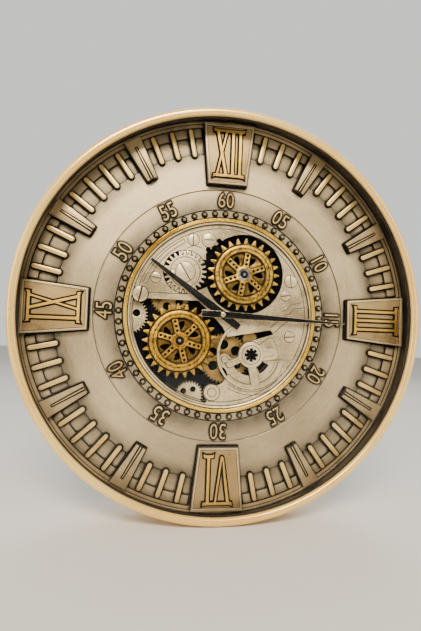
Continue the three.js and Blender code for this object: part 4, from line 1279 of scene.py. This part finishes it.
# Dark outlines round the foot of the raised parts are painted shadow.
balance_foot_shadows = [sheet([loop], plate_front + 0.01, plate_front + 0.5, 0, swell=0.8)
              for loop, front in flat_balance_parts() if front > plate_front + 1.2]
loose_piece("balance_seams", gathered(seams + balance_foot_shadows), line_brown, "body", "balance_wheel")
tray_black = grained_finish("tray_black", shade(1, 1, 2), shade(7, 8, 11), 1500.0, 22.0, rough=0.5,
                            rough_spread=0.2, relief=0.25, gloss=0.05)
balance_socket = sheet([ring_loop(*BALANCE, 11, 40)], balance_front - 0.9, balance_front - 0.6, 0.05)
loose_piece("balance_socket", balance_socket, tray_black, "body", "balance_wheel")

# Silver wheel
# A fixed wheel with twenty-four teeth under a broad slotted screw, at the upper left. The plate is cut
# deep beside its teeth, and on two sides a ledge is left below them.
wheel_foot = levels("silver_wheel")[0]
WHEEL_TOP = 34.8
SCREW_TOP = WHEEL_TOP + 1.2
SLOT_ANGLE = -57
SLOT_WIDTH = 1.8


def toothed(centre, teeth, tip, root, tip_half, root_half, first_tooth):
    """Outline of a wheel whose teeth taper from root to tip, with slightly rounded tips."""
    points = []
    for i in range(teeth):
        middle = first_tooth + i * 360 / teeth
        for radius, angle in ((root, middle - root_half), (tip - 0.5, middle - tip_half),
                              (tip, middle - tip_half * 0.4), (tip, middle + tip_half * 0.4),
                              (tip - 0.5, middle + tip_half), (root, middle + root_half)):
            points.append(spot_at(radius, angle, centre))
    return points


silver_teeth = toothed(SILVER_WHEEL, 24, tip=32, root=25.5, tip_half=2.2, root_half=4.4, first_tooth=3)
silver_parts = [
    sheet([silver_teeth], plate_back, WHEEL_TOP, 0.25),
    slotted_head(*SILVER_WHEEL, 14.6, SLOT_ANGLE, plate_front, SCREW_TOP, SLOT_WIDTH),
    sheet([ring_loop(*SILVER_WHEEL, 6, 24)], wheel_foot, plate_back + 0.5, 0.1),
    *[sheet([sector(SILVER_WHEEL, 20, 33.1, start, end)], plate_back, plate_back + 1, 0.15)
      for start, end in ((28, 103), (213, 300))],
]
as_piece("silver_tooth_wheel", gathered(silver_parts), plate_silver, "body", "silver_wheel")
# The black sheet under the teeth is painted shadow and the black pit below the wheel painted shade.
tooth_shadow = sheet([silver_teeth], plate_back + 0.6, WHEEL_TOP - 1.1, 0, swell=0.8)
wheel_pit_shade = sheet([ring_loop(*SILVER_WHEEL, 34, 64)], plate_back - 1.2, plate_back - 0.6, 0.1)
loose_piece("silver_wheel_shade", gathered([tooth_shadow, wheel_pit_shade]), tray_black, "body", "silver_wheel")
wheel_slot = slot_shadow(*SILVER_WHEEL, 14, SLOT_ANGLE, SCREW_TOP, SLOT_WIDTH)
wheel_rings = [moulded_line(ring_loop(*SILVER_WHEEL, radius, 64), closed=True, half=0.6,
                            lift=WHEEL_TOP - plate_front) for radius in (15, 22.6)]
loose_piece("silver_wheel_rings", gathered([*wheel_rings, wheel_slot]), line_brown, "body", "silver_wheel")

# Tray and the wheels on its floor
# A black dished tray closes the movement from behind. Four fixed wheels lie on its floor, two gilt and
# two silver, with round holes; they show through the windows and fill the depth behind the gears.
tray_back, tray_rim = levels("tray")
TRAY_FLOOR = 23
TRAY_WALL = 137.2
tray_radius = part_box("tray")[1].x / MM
WHEEL_REACH = 136.6
HOLE_REACH = 135
tray_blank = turned([(0, tray_back), (tray_radius, tray_back), (tray_radius, tray_rim),
                     (TRAY_WALL, tray_rim), (TRAY_WALL, TRAY_FLOOR), (0, TRAY_FLOOR)], 160)
tray_holes = [sheet([ring_loop(x, y, radius, 32)], tray_back - 2, TRAY_FLOOR + 2, 0)
              for x, y, radius in ((0, 0, 4.9), (*UPPER_GEAR, 3), (*LOWER_GEAR, 3))]
as_piece("black_tray", combined(tray_blank, tray_holes, "DIFFERENCE"), tray_black, "body", "tray", ease=0.3)


def refinish(node, material, ease=0.0):
    """Gives a CAD node that keeps its shape a finish and rounded edges."""
    kept = frame["nodes"][node]
    kept.data.materials.clear()
    kept.data.materials.append(material)
    if ease:
        ease_edges(kept, ease, sharp=40)


for number in range(1, 5):
    refinish(f"pillar_{number}", tray_black)

dull_gilt = antique_paint("dull_gilt", shade(98, 72, 32), shade(178, 142, 76), shade(34, 24, 12),
                          shade(18, 13, 8), metal=0.55, rough=0.34, drift_scale=60.0, wash_and_shade_width=0.0045,
                          wash_and_shade_weight=1.3)
# Each wheel: its node and centre, its teeth with their tip and root, its holes with their circle, radius,
# number and first angle, and its paint.
tray_wheels = [
    ("under_wheel_centre", (7.7, -66), 44, 38.5, 35.3, (20.8, 7.4, 6, 34), dull_gilt),
    ("under_wheel_left", (-79, 26.4), 38, 30.5, 27.6, (17, 6, 5, 40), dull_gilt),
    ("under_wheel_bottom", (-45, -122.5), 28, 22, 18.6, (10.5, 4.4, 4, 55), plate_silver),
    ("under_wheel_side", (-139, -6), 34, 28.3, 24.8, (12, 5.6, 4, 19), plate_silver),
]


def inside_tray(loop):
    """Loop with any run that passes the tray's wall replaced by an arc along the wall."""
    outside = [math.hypot(x, y) > WHEEL_REACH for x, y in loop]
    if not any(outside):
        return loop
    start = next(i for i in range(len(loop)) if outside[i - 1] and not outside[i])
    from_start = zip(loop[start:] + loop[:start], outside[start:] + outside[:start])
    kept = [point for point, past in from_start if not past]
    leave, enter = (math.degrees(math.atan2(y, x)) % 360 for x, y in (kept[-1], kept[0]))
    return kept + arc(0, 0, WHEEL_REACH, leave + 0.5, leave + (enter - leave) % 360 - 0.5, 24)


for node, centre, teeth, tip, root, (circle, hole, count, first), paint in tray_wheels:
    hole_spots = [spot_at(circle, first + i * 360 / count, centre) for i in range(count)]
    wheel_holes = [ring_loop(*spot, hole, 28) for spot in hole_spots if math.hypot(*spot) + hole < HOLE_REACH]
    low, high = levels(node)
    rim = inside_tray(toothed(centre, teeth, tip, root, tip_half=1.0, root_half=2.6, first_tooth=0))
    as_piece(f"fixed_{node[6:]}", sheet([rim, *wheel_holes], low, high, 0.25), paint, "body", node)
slot_pinion = toothed((46, -35.5), 22, tip=12.5, root=10.2, tip_half=1.8, root_half=4.2, first_tooth=0)
loose_piece("fixed_slot_pinion", sheet([slot_pinion], TRAY_FLOOR + 3.2, TRAY_FLOOR + 5.4, 0.25), dull_gilt,
            "body", "under_wheel_centre")

# Gear wheels
# Two gilt wheels turn in the windows. Each is a toothed disc with six leaf openings and a raised band,
# crossed by a spider of six perforated straps round a hub, on a polished steel pin.
GEAR_TEETH = 25
GEAR_TIP = 56
GEAR_ROOT = 47.8
BAND_INNER = 34
BAND_OUTER = 45
BAND_GROOVE = 39.6
WEB = 3.4
LEAF_LAG = 16.6
LEAF_CIRCLE = 22.3
LEAF_LENGTH = 9.4
LEAF_WIDTH = 5.4
STRAP_INNER = 13.5
STRAP_OUTER = 33.5
STRAP_HALF = 4.1
STRAP_HOLE = 2.15
PIN_RADIUS = 2.3
# Each gear's centre, and the angles of one strap and of one tooth.
gear_places = {"upper_gear": (UPPER_GEAR, 80.8, 87.5), "lower_gear": (LOWER_GEAR, 105.4, 94.1)}


def gear_gilding(name, centre, dull, bright, recess=0.0):
    """Antique gold: bright on the raised faces, dark dashes round the band, painted shade along the band's
    edges, on the web inside it and down the sides, and wash with painted shade in the hollows.
    """
    made, tree, output = new_material(name)
    axis = Vector((centre[0] * MM, 0, AXIS_LEVEL + centre[1] * MM))
    place = add_node(tree, "ShaderNodeGroup", {"Axis": axis}, node_tree=axis_distance)
    radius = place.outputs["Radius"]
    grain = grain_node(tree, 1000.0, 45.0)
    around = add_node(tree, "ShaderNodeCombineXYZ", {
        "X": calculate(tree, "MULTIPLY", place.outputs["Turn"], 46.0),
        "Y": calculate(tree, "MULTIPLY", radius, 0.35)})
    dash = mapped(tree, noise(tree, 1.0, 2.0, place=around.outputs["Vector"]), 0.48, 0.6)
    dashed = calculate(tree, "MULTIPLY", dash, near_radius(tree, radius, BAND_GROOVE, 3.0))
    # The band's outer and inner edges are darkened as painted shade at their foot.
    edges = calculate(tree, "MAXIMUM", near_radius(tree, radius, BAND_OUTER + 1.5, 2.6),
                      near_radius(tree, radius, BAND_INNER, 2.2))
    dashes_and_edge_shade = calculate(tree, "MAXIMUM", dashed, edges)
    surface_place = add_node(tree, "ShaderNodeTexCoord").outputs["Object"]
    tarnish = mapped(tree, noise(tree, 240.0, 5.0, 0.72, surface_place), 0.44, 0.62, to_high=0.85)
    # The web inside the band is darkened as painted shade.
    inside_band = mapped(tree, radius, BAND_INNER + 0.5, BAND_INNER - 0.5)
    shadowed = calculate(tree, "MULTIPLY", inside_band, recess)
    face = blend_colours(tree, shadowed, blend_colours(tree, grain.outputs["Tone"], dull, bright),
                         shade(88, 66, 32))
    # Sides that turn away from the front are painted shade.
    body = blend_colours(tree, facing_mask(tree, 0.6, 0.93), shade(52, 37, 17), face)
    tarnished = blend_colours(tree, tarnish, body, shade(84, 58, 22))
    dashed_and_edge_shaded = blend_colours(tree, calculate(tree, "MULTIPLY", dashes_and_edge_shade, 0.9), tarnished, shade(40, 27, 12))
    cover(tree, output, {
        "Base Color": blend_colours(tree, wash_and_shade_node(tree, 0.005, 1.5), dashed_and_edge_shaded, shade(24, 16, 8)),
        "Metallic": 0.88, "Roughness": tone_to(tree, grain.outputs["Tone"], 0.24, 0.24),
        "Normal": fine_relief(tree, 0.2, grain.outputs["Height"])})
    return made


def leaf_hole(centre, degrees):
    """Leaf opening in the web, leaning forward between two straps."""
    middle_x, middle_y = spot_at(LEAF_CIRCLE, degrees, centre)
    lean = math.radians(degrees - 38)
    points = []
    for i in range(28):
        angle = i * math.tau / 28
        along = LEAF_LENGTH * math.cos(angle)
        across = LEAF_WIDTH * math.sin(angle) * (1 - 0.25 * math.cos(angle))
        points.append((middle_x + along * math.cos(lean) - across * math.sin(lean),
                       middle_y + along * math.sin(lean) + across * math.cos(lean)))
    return points


def moved(mesh, centre):
    """Moves a mesh drawn round the hands' axis to a centre of its own."""
    mesh.transform(Matrix.Translation((*centre, 0)))
    return mesh


def gear_web(centre, strap, tooth, back, band_top):
    """Toothed disc with its leaf openings, and the raised band on it."""
    web_front = back + WEB
    leaves = [leaf_hole(centre, strap - LEAF_LAG + i * 60) for i in range(6)]
    teeth = toothed(centre, GEAR_TEETH, GEAR_TIP, GEAR_ROOT, tip_half=1.1, root_half=4.3, first_tooth=tooth)
    disc = sheet([teeth, ring_loop(*centre, 3, 24), *leaves], back, web_front, 0.45)
    band = turned([
        (BAND_INNER, web_front - 1), (BAND_OUTER + 1.6, web_front - 1), (BAND_OUTER + 1.6, web_front + 0.8),
        (BAND_OUTER + 0.7, web_front + 0.8), (BAND_OUTER + 0.7, band_top - 1.4), (BAND_OUTER, band_top - 0.5),
        (BAND_OUTER - 1.2, band_top), (40.4, band_top), (40.0, band_top - 0.4), (39.2, band_top - 0.4),
        (38.8, band_top), (BAND_INNER + 1, band_top), (BAND_INNER, band_top - 0.8)], 128)
    return gathered([disc, moved(band, centre)])


def strap_outline(centre, strap):
    """Outline of six straps that spread from a hub, and their round holes."""
    points = []
    holes = []
    for i in range(6):
        angle = strap + i * 60
        for reach, side in ((STRAP_INNER, -1), (STRAP_OUTER, -1), (STRAP_OUTER, 1), (STRAP_INNER, 1)):
            spread = math.degrees(math.asin(STRAP_HALF / reach))
            points.append(spot_at(reach, angle + side * spread, centre))
        points += arc(*centre, 12.6, angle + 24, angle + 36, 3)
        holes += [ring_loop(*spot_at(reach, angle, centre), STRAP_HOLE, 16) for reach in (15.6, 22.4, 29.4)]
    return points, holes


def hub_collar(centre, front):
    """Low collar round the pin."""
    return moved(turned([(6.2, front - 0.4), (8.9, front - 0.4), (8.9, front + 0.6), (8.4, front + 1),
                         (6.7, front + 1), (6.2, front + 0.5)], 48), centre)


steel = grained_finish("pin_steel", shade(150, 150, 150), shade(214, 214, 212), 2600.0, 120.0, rough=0.16,
                       rough_spread=0.2, relief=0.15, metal=1.0, depth=0.0001)
gear_black = antique_paint("gear_black", shade(18, 13, 8), shade(34, 25, 14), shade(14, 10, 6),
                           shade(8, 6, 4), metal=0.0, rough=0.5, gloss=0.1)
gear_tones = {"upper_gear": (shade(140, 98, 28), shade(246, 200, 88)),
              "lower_gear": (shade(146, 98, 22), shade(248, 194, 68))}
for body, (centre, strap, tooth) in gear_places.items():
    gilding = gear_gilding(f"{body}_gilding", centre, *gear_tones[body])
    web_gilding = gear_gilding(f"{body}_web_gilding", centre, *gear_tones[body], recess=0.8)
    collar_finish = steel if body == "upper_gear" else gilding
    web_back, band_top = levels(f"{body}_wheel")
    strap_back, collar_top = levels(f"{body}_straps")
    pin_back, pin_top = levels(f"{body}_pin")
    spider_top = collar_top - 1
    as_piece(f"{body}_disc", gear_web(centre, strap, tooth, web_back, band_top), web_gilding, body,
             f"{body}_wheel")
    straps, holes = strap_outline(centre, strap)
    spider = sheet([straps, *holes, ring_loop(*centre, 2.9, 24)], strap_back, spider_top, 0.35)
    as_piece(f"{body}_spider", spider, gilding, body, f"{body}_straps")
    loose_piece(f"{body}_collar", hub_collar(centre, spider_top), collar_finish, body, f"{body}_straps")
    # The black sheet under the straps is painted shadow and the black ring in the hub's pit painted shade.
    shadow = sheet([straps, ring_loop(*centre, 3.2, 24)], web_back + WEB - 0.1, web_back + WEB + 0.25, 0,
                   swell=1.1)
    hub_pit_shade = sheet([ring_loop(*centre, 6.4, 40), ring_loop(*centre, 2.6, 24)], collar_top - 1.2,
                    collar_top - 0.9, 0.05)
    loose_piece(f"{body}_shadow", gathered([shadow, hub_pit_shade]), gear_black, body, f"{body}_straps")
    pin = turned([(0, pin_back), (PIN_RADIUS, pin_back), (PIN_RADIUS, pin_top - 0.8), (1.7, pin_top - 0.1),
                  (0, pin_top)], 32)
    as_piece(f"{body}_steel_pin", moved(pin, centre), steel, body, f"{body}_pin")

# Hands, pipes and nut
# Two tapered steel hands with short blunt tails, lacquered black inside a bright cut edge. They sit on
# a pipe and an arbor that come up through a brass bush, and a small domed cap closes the minute hand.
TAIL = 32
HAND_EDGE = 0.3
# Each hand: its body, its angle from 12, its length, half its width at tail, hub and tip, and its bore.
hand_rows = {
    "hour_hand": ("hour", 305.5, 135, 5.4, 6.4, 2.4, 3.4),
    "minute_hand": ("minute", 92, 193, 5, 4.9, 1.2, 1.9),
}


def hand_outline(length, tail_half, hub_half, tip_half, inset):
    """Hand that points away from the axis, from its blunt tail to its tip, drawn in by an inset."""
    nose = length - inset * 2.2
    nose_half = max(tip_half - inset, 0.35)
    right = [(tail_half - inset - 1, -TAIL + inset), (tail_half - inset, -TAIL + inset + 1),
             (hub_half - inset, 0), (hub_half - inset, length * 0.2), (nose_half, nose - 1),
             (nose_half * 0.8, nose)]
    return right + [(-x, y) for x, y in reversed(right)]


lacquer = grained_finish("black_lacquer", shade(3, 3, 3), shade(16, 15, 13), 2400.0, 40.0, rough=0.22,
                         rough_spread=0.3, relief=0.1, gloss=0.15, depth=0.0001)
cut_edge = antique_paint("cut_edge", shade(196, 174, 130), shade(234, 216, 176), shade(190, 166, 120),
                         shade(60, 46, 28), metal=0.8, rough=0.28, wash_and_shade_weight=0.3)
for node, (body, clockwise, length, tail_half, hub_half, tip_half, hole) in hand_rows.items():
    low, high = levels(node)
    blade = sheet([hand_outline(length, tail_half, hub_half, tip_half, 0), ring_loop(0, 0, hole, 24)],
                  low, high - 0.25, 0.2)
    face = sheet([hand_outline(length, tail_half, hub_half, tip_half, HAND_EDGE), ring_loop(0, 0, hole, 24)],
                 high - 0.5, high, 0.1)
    as_piece(f"{node}_blade", to_hour(blade, clockwise), cut_edge, body, node)
    loose_piece(f"{node}_face", to_hour(face, clockwise), lacquer, body, node)

brass = antique_paint("turned_brass", shade(176, 140, 72), shade(228, 196, 124), shade(168, 132, 66),
                      shade(40, 30, 16), metal=0.95, rough=0.22, drift_scale=90.0, wash_and_shade_weight=0.5)
cap_back, cap_front = levels("hand_cap")
as_piece("domed_cap", turned([
    (1.9, cap_back), (3.8, cap_back), (3.8, cap_back + 0.9), (3.4, cap_back + 1.5), (2.5, cap_front - 0.25),
    (1.3, cap_front - 0.05), (0, cap_front), (0, cap_front - 0.9), (1.9, cap_front - 0.9)], 40),
    cut_edge, "minute", "hand_cap")
for node, name, body, bore, outer, finish in (
        ("centre_bush", "threaded_bush", "body", 3.4, 4.6, brass),
        ("hour_pipe", "hour_tube", "hour", 2.1, 3.1, steel),
        ("minute_arbor", "minute_spindle", "minute", 0, 1.6, steel)):
    low, high = levels(node)
    tube = turned([(bore, low), (outer, low), (outer, high - 0.3), (outer - 0.3, high), (bore, high)], 40)
    as_piece(name, tube, finish, body, node)
nut_back, nut_front = levels("hex_nut")
nut = sheet([arc(0, 0, 7.6, 0, 300, 5), ring_loop(0, 0, 4.9, 32)], nut_back, nut_front, 0.5)
as_piece("clamping_nut", nut, brass, "body", "hex_nut")

# Movement of the hands
# A quartz movement in a black moulded case, 56 mm square, behind the tray. Its back has a bay for one
# AA cell with a spring contact, and a lobed knob that sets the hands; moulded ribs stiffen its face.
movement_back, movement_front = levels("hands_movement")
MOVEMENT_HALF = 28
BAY_Y = -17
BAY_LENGTH = 51.4
BAY_WIDTH = 15.6
KNOB_Y = 9
KNOB_LOBES = 8.1
CELL_RADIUS = 7.1
CELL_LENGTH = 49
CELL_LEVEL = movement_front - 2 - CELL_RADIUS


def box_outline(x, y, width, height, corner, steps=5):
    """Rectangle with round corners, as a loop."""
    right, top = width / 2 - corner, height / 2 - corner
    return (arc(x + right, y + top, corner, 0, 90, steps) + arc(x - right, y + top, corner, 90, 180, steps)
            + arc(x - right, y - top, corner, 180, 270, steps)
            + arc(x + right, y - top, corner, 270, 360, steps))


def moulded_plastic(name, dull, bright, rough=0.45, speckle=1800.0):
    """Injection moulding with a fine spark-eroded surface and paler rubbed patches."""
    return grained_finish(name, dull, bright, speckle, 30.0, rough - 0.1, rough_spread=0.22, relief=0.3,
                          depth=0.0001)


def movement_case():
    """Square block with a bay for the cell, a well for the knob and holes for what passes through it."""
    block = sheet([box_outline(0, 0, 2 * MOVEMENT_HALF, 2 * MOVEMENT_HALF, 4)], movement_back + 0.8,
                  movement_front, 0.5)
    bay = sheet([box_outline(0, BAY_Y, BAY_LENGTH, BAY_WIDTH, 1.2)], movement_back - 1,
                movement_front - 1.4, 0)
    well = sheet([ring_loop(0, KNOB_Y, 10.4, 48)], movement_back - 1, movement_back + 2.4, 0)
    stem = sheet([ring_loop(0, KNOB_Y, 2.6, 20)], movement_back, movement_back + 6, 0)
    axle = sheet([ring_loop(0, 0, 4.9, 32)], movement_front - 1, movement_front + 1, 0)
    pits = [sheet([ring_loop(x, y, 1.8, 16)], movement_back - 1, movement_back + 2, 0)
            for x in (-24.5, 24.5) for y in (-5.5, 24.5)]
    return combined(block, [bay, well, stem, axle, *pits], "DIFFERENCE")


def movement_ribs():
    """Ribs on the back of the case: round its edge, round the knob and beside it."""
    ribs = [sheet([box_outline(0, 0, 55.4, 55.4, 3.8), box_outline(0, 0, 53, 53, 2.8)],
                  movement_back, movement_back + 1.2, 0.2)]
    ribs.append(sheet([ring_loop(0, KNOB_Y, 12.4, 48), ring_loop(0, KNOB_Y, 11.2, 48)],
                      movement_back + 0.1, movement_back + 1.2, 0.15))
    ribs += [sheet([box_outline(side * 18.6, KNOB_Y + step, 11, 0.9, 0.4, 2)], movement_back + 0.2,
                   movement_back + 1.2, 0.1) for side in (-1, 1) for step in (-5, 0, 5)]
    return gathered(ribs)


def cell_meshes(x, y, along_x):
    """AA cell: the plain sleeve, and its steel ends with the contact button."""
    half = CELL_LENGTH / 2
    sleeve = turned([(5.4, -half + 0.35), (CELL_RADIUS - 0.5, -half + 0.1), (CELL_RADIUS, -half + 0.8),
                     (CELL_RADIUS, half - 1.6), (CELL_RADIUS - 0.5, half - 1.1), (4.6, half - 1.25)], 40)
    ends = turned([(0, -half), (5.5, -half), (5.5, half - 1.3), (2.8, half - 1.2), (2.6, half - 0.2),
                   (2.2, half), (0, half)], 32)
    lay_down = Matrix.Rotation(math.radians(90), 4, "Y" if along_x else "X")
    point_way = Matrix.Scale(1 if along_x else -1, 4, (0, 0, 1))
    for mesh in (sleeve, ends):
        mesh.transform(Matrix.Translation((x, y, CELL_LEVEL)) @ lay_down @ point_way)
    return sleeve, ends


def spring_contact(x, y, along_x, turns=4):
    """Coil at the flat end of a cell, squeezed between it and the end wall."""
    steps = turns * 12
    start = -CELL_LENGTH / 2 - 0.15
    points = []
    for i in range(steps + 1):
        angle = i * math.tau / 12
        radius = 2 + 1.6 * i / steps
        along = start - 0.75 * i / steps
        across = radius * math.cos(angle)
        spot = (x + along, y + across) if along_x else (x + across, y + along)
        points.append((*spot, CELL_LEVEL + radius * math.sin(angle)))
    return wire(points, 0.22)


movement_black = moulded_plastic("movement_black", shade(20, 20, 21), shade(46, 46, 47))
as_piece("movement_case", movement_case(), movement_black, "body", "hands_movement", ease=0.3)
loose_piece("movement_ribs", movement_ribs(), movement_black, "body", "hands_movement")
sleeve_green = moulded_plastic("sleeve_green", shade(22, 74, 56), shade(40, 104, 80), rough=0.3,
                               speckle=600.0)
sleeve, ends = cell_meshes(0, BAY_Y, True)
as_piece("movement_cell_sleeve", sleeve, sleeve_green, "body", "movement_cell")
loose_piece("movement_cell_ends", ends, steel, "body", "movement_cell")
loose_piece("movement_spring", spring_contact(0, BAY_Y, True), steel, "body", "movement_cell")
knob_back, knob_tip = levels("setting_knob")
lobes = []
for outward in range(0, 360, 40):
    lobes += arc(*spot_at(KNOB_LOBES, outward, (0, KNOB_Y)), 0.9, outward - 80, outward + 80, 6)
knob_grey = moulded_plastic("knob_grey", shade(150, 150, 148), shade(186, 186, 182), rough=0.4)
knob_disc = sheet([lobes], knob_back, knob_back + 2.8, 0.4)
knob_hub = moved(turned([(0, knob_back + 0.2), (2.2, knob_back + 0.2), (2.2, knob_tip), (0, knob_tip)], 24),
                 (0, KNOB_Y))
as_piece("lobed_knob", gathered([knob_disc, knob_hub]), knob_grey, "knob", "setting_knob")

# Gear drive and switch
# The closed case behind the tray holds the motor and the train that turn both gilt wheels. It is moulded
# in dark grey, and a small slide switch stands in a well in its back.
drive_grey = moulded_plastic("drive_grey", shade(44, 45, 48), shade(74, 75, 79), rough=0.5)
refinish("gear_drive_case", drive_grey, ease=0.4)
drive_back = levels("gear_drive_case")[0]
screw_places = ((-55, 68), (-68, 47), (-62.3, -54), (-62.3, -29), (45, 69), (24, 50))
case_screws = gathered([slotted_head(x, y, 2.6, 35, drive_back - 0.9, drive_back - 0.02, slot=0.7)
                        for x, y in screw_places])
loose_piece("drive_case_screws", case_screws, steel, "body", "gear_drive_case")
slider_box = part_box("switch_slider")
slider_back, slider_front = levels("switch_slider")
slider_x = (slider_box[0].x + slider_box[1].x) / 2 / MM
slider_y = ((slider_box[0].z + slider_box[1].z) / 2 - AXIS_LEVEL) / MM
slider_parts = [sheet([box_outline(slider_x, slider_y, 6, 4.8, 0.6)], slider_back + 0.7, slider_front, 0.2)]
slider_parts += [sheet([box_outline(slider_x + step, slider_y, 0.8, 4.4, 0.3, 2)], slider_back,
                       slider_back + 1, 0.15) for step in (-2.2, -0.75, 0.75, 2.2)]
as_piece("ribbed_slider", gathered(slider_parts), knob_grey, "switch", "switch_slider")

# Battery box and lid
# A moulded box for the two AA cells of the gear drive stands beside it. Its lid slides down to open, and
# has a row of ribs for the thumb at its lower end.
BOX_X = -101
BOX_Y = 10
BOX_WIDTH = 34
BOX_HEIGHT = 62
WALL = 1.5
battery_back, battery_front = levels("battery_box")
lid_back, lid_front = levels("battery_lid")
box_blank = sheet([box_outline(BOX_X, BOX_Y, BOX_WIDTH, BOX_HEIGHT, 2)], battery_back, battery_front, 0.3)
box_inside = sheet([box_outline(BOX_X, BOX_Y, BOX_WIDTH - 2 * WALL, BOX_HEIGHT - 2 * WALL, 1)],
                   battery_back - 1, battery_front - WALL, 0)
as_piece("moulded_battery_box", combined(box_blank, [box_inside], "DIFFERENCE"), movement_black, "body",
         "battery_box", ease=0.2)
for number, side in ((1, -1), (2, 1)):
    cell_x = BOX_X + side * (CELL_RADIUS + 0.3)
    sleeve, ends = cell_meshes(cell_x, BOX_Y, False)
    as_piece(f"drive_cell_sleeve_{number}", sleeve, sleeve_green, "body", f"drive_cell_{number}")
    loose_piece(f"drive_cell_ends_{number}", ends, steel, "body", f"drive_cell_{number}")
    loose_piece(f"drive_spring_{number}", spring_contact(cell_x, BOX_Y, False), steel, "body",
                f"drive_cell_{number}")
lid_parts = [sheet([box_outline(BOX_X, BOX_Y, BOX_WIDTH, BOX_HEIGHT, 2)], lid_front - 1.5, lid_front, 0.3)]
lid_parts += [sheet([box_outline(BOX_X, BOX_Y - 27 + step * 2.6, 18, 1.1, 0.5, 3)], lid_back,
                    lid_front - 1.3, 0.2) for step in range(5)]
as_piece("sliding_lid", gathered(lid_parts), movement_black, "lid", "battery_lid")

# Back flange and panel
# A champagne flange runs round the back, with four countersunk screws into the blocks inside. A disc of
# hardboard, brown-black and faintly fibrous, lies on it; square holes in the board give access to the
# movement, the battery lid, the switch and the keyhole.
FLANGE_OPENING = 270
BLOCK_CIRCLE = 286
flange_back, flange_front = levels("back_flange")
flange_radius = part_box("back_flange")[1].x / MM
flange_blank = flat_ring(FLANGE_OPENING, flange_radius, flange_back, flange_front)
screw_spots = [spot_at(BLOCK_CIRCLE, degrees) for degrees in (45, 135, 225, 315)]
sinks = [moved(turned([(0, -1), (5, -1), (5, 0), (4.3, 1.4), (0, 1.4)], 40), spot) for spot in screw_spots]
as_piece("pierced_flange", combined(flange_blank, sinks, "DIFFERENCE"), case_paint, "body", "back_flange",
         ease=0.25)
block_screws = gathered([slotted_head(*spot, 4.1, 20, 0.1, 1.3, slot=1.1) for spot in screw_spots])
loose_piece("flange_screws", block_screws, steel, "body", "back_flange")
panel_back, panel_front = levels("back_panel")
panel_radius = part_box("back_panel")[1].x / MM
HANGER_Y = 240


def hardboard():
    """Pressed fibre: short dark strands in every direction under a matt skin."""
    made, tree, output = new_material("hardboard")
    place = add_node(tree, "ShaderNodeTexCoord").outputs["Object"]
    strands = noise(tree, 420.0, 5.0, 0.7, place, distortion=1.4)
    tone = blend_values(tree, strands, 0.6, noise(tree, 14.0, 4.0, place=place), 0.4)
    fibre = blend_colours(tree, tone, shade(38, 27, 19), shade(96, 71, 50))
    specks = add_node(tree, "ShaderNodeTexVoronoi", {"Vector": place, "Scale": 900.0}).outputs["Distance"]
    fleck = calculate(tree, "MULTIPLY", calculate(tree, "LESS_THAN", specks, 0.2), 0.35)
    cover(tree, output, {
        "Base Color": blend_colours(tree, fleck, fibre, shade(28, 20, 14)), "Roughness": 0.62,
        "Normal": fine_relief(tree, 0.35, strands)})
    return made


board = hardboard()
panel_blank = flat_ring(0, panel_radius, panel_back, panel_front)
panel_cuts = [sheet([box_outline(x, y, width, height, 1.5)], panel_back - 2, panel_front + 2, 0)
              for x, y, width, height in ((0, 0, 58, 58), (BOX_X, 3, 36, 78), (-55, 59, 22, 14),
                                          (0, HANGER_Y, 16, 28))]
as_piece("hardboard_panel", combined(panel_blank, panel_cuts, "DIFFERENCE"), board, "body", "back_panel",
         ease=0.2)
for number in range(1, 5):
    refinish(f"spacer_block_{number}", board, ease=0.5)

# Hanger and bumpers
# A plate of zinc-plated steel with a keyhole is riveted over the slot at the top of the panel, and two
# rubber pads below keep the clock upright and off the wall.
hanger_back, hanger_front = levels("wall_hanger")
ENTRY_Y = 235
ENTRY_RADIUS = 5.5
SEAT_Y = 248
SEAT_RADIUS = 2.75
PAD_CIRCLE = 255
PAD_RADIUS = 8


def zinc_plate():
    """Zinc-plated sheet with a faint spangle."""
    made, tree, output = new_material("zinc_plate")
    place = add_node(tree, "ShaderNodeTexCoord").outputs["Object"]
    spangle = add_node(tree, "ShaderNodeTexVoronoi", {"Vector": place, "Scale": 320.0}).outputs["Distance"]
    grain = grain_node(tree, 2600.0, 60.0)
    tone = blend_values(tree, spangle, 0.6, grain.outputs["Tone"], 0.5)
    cover(tree, output, {
        "Base Color": blend_colours(tree, tone, shade(128, 130, 132), shade(196, 198, 200)),
        "Metallic": 1.0, "Roughness": tone_to(tree, tone, 0.22, 0.25),
        "Normal": fine_relief(tree, 0.15, grain.outputs["Height"], 0.0001)})
    return made


zinc = zinc_plate()
keyhole = arc(0, ENTRY_Y, ENTRY_RADIUS, 120, 420, 30) + arc(0, SEAT_Y, SEAT_RADIUS, 0, 180, 12)
hanger = sheet([box_outline(0, HANGER_Y, 56, 34, 3), keyhole], hanger_back, hanger_front, 0.2)
as_piece("keyhole_plate", hanger, zinc, "body", "wall_hanger")
rivets = gathered([dome(side * 22, HANGER_Y + rise, 2.6, hanger_back + 0.2, hanger_back - 0.5, rings=3)
                   for side in (-1, 1) for rise in (-10, 10)])
loose_piece("hanger_rivets", rivets, zinc, "body", "wall_hanger")
pad_back, pad_front = levels("bumper_1")
for number, degrees in ((1, 210), (2, 330)):
    pad = turned([(0, pad_back + 0.5), (2.4, pad_back + 0.5), (3, pad_back), (7.2, pad_back),
                  (PAD_RADIUS, pad_back + 0.8), (PAD_RADIUS, pad_front), (0, pad_front)], 40)
    as_piece(f"rubber_pad_{number}", moved(pad, spot_at(PAD_CIRCLE, degrees)), rubber, "body",
             f"bumper_{number}")
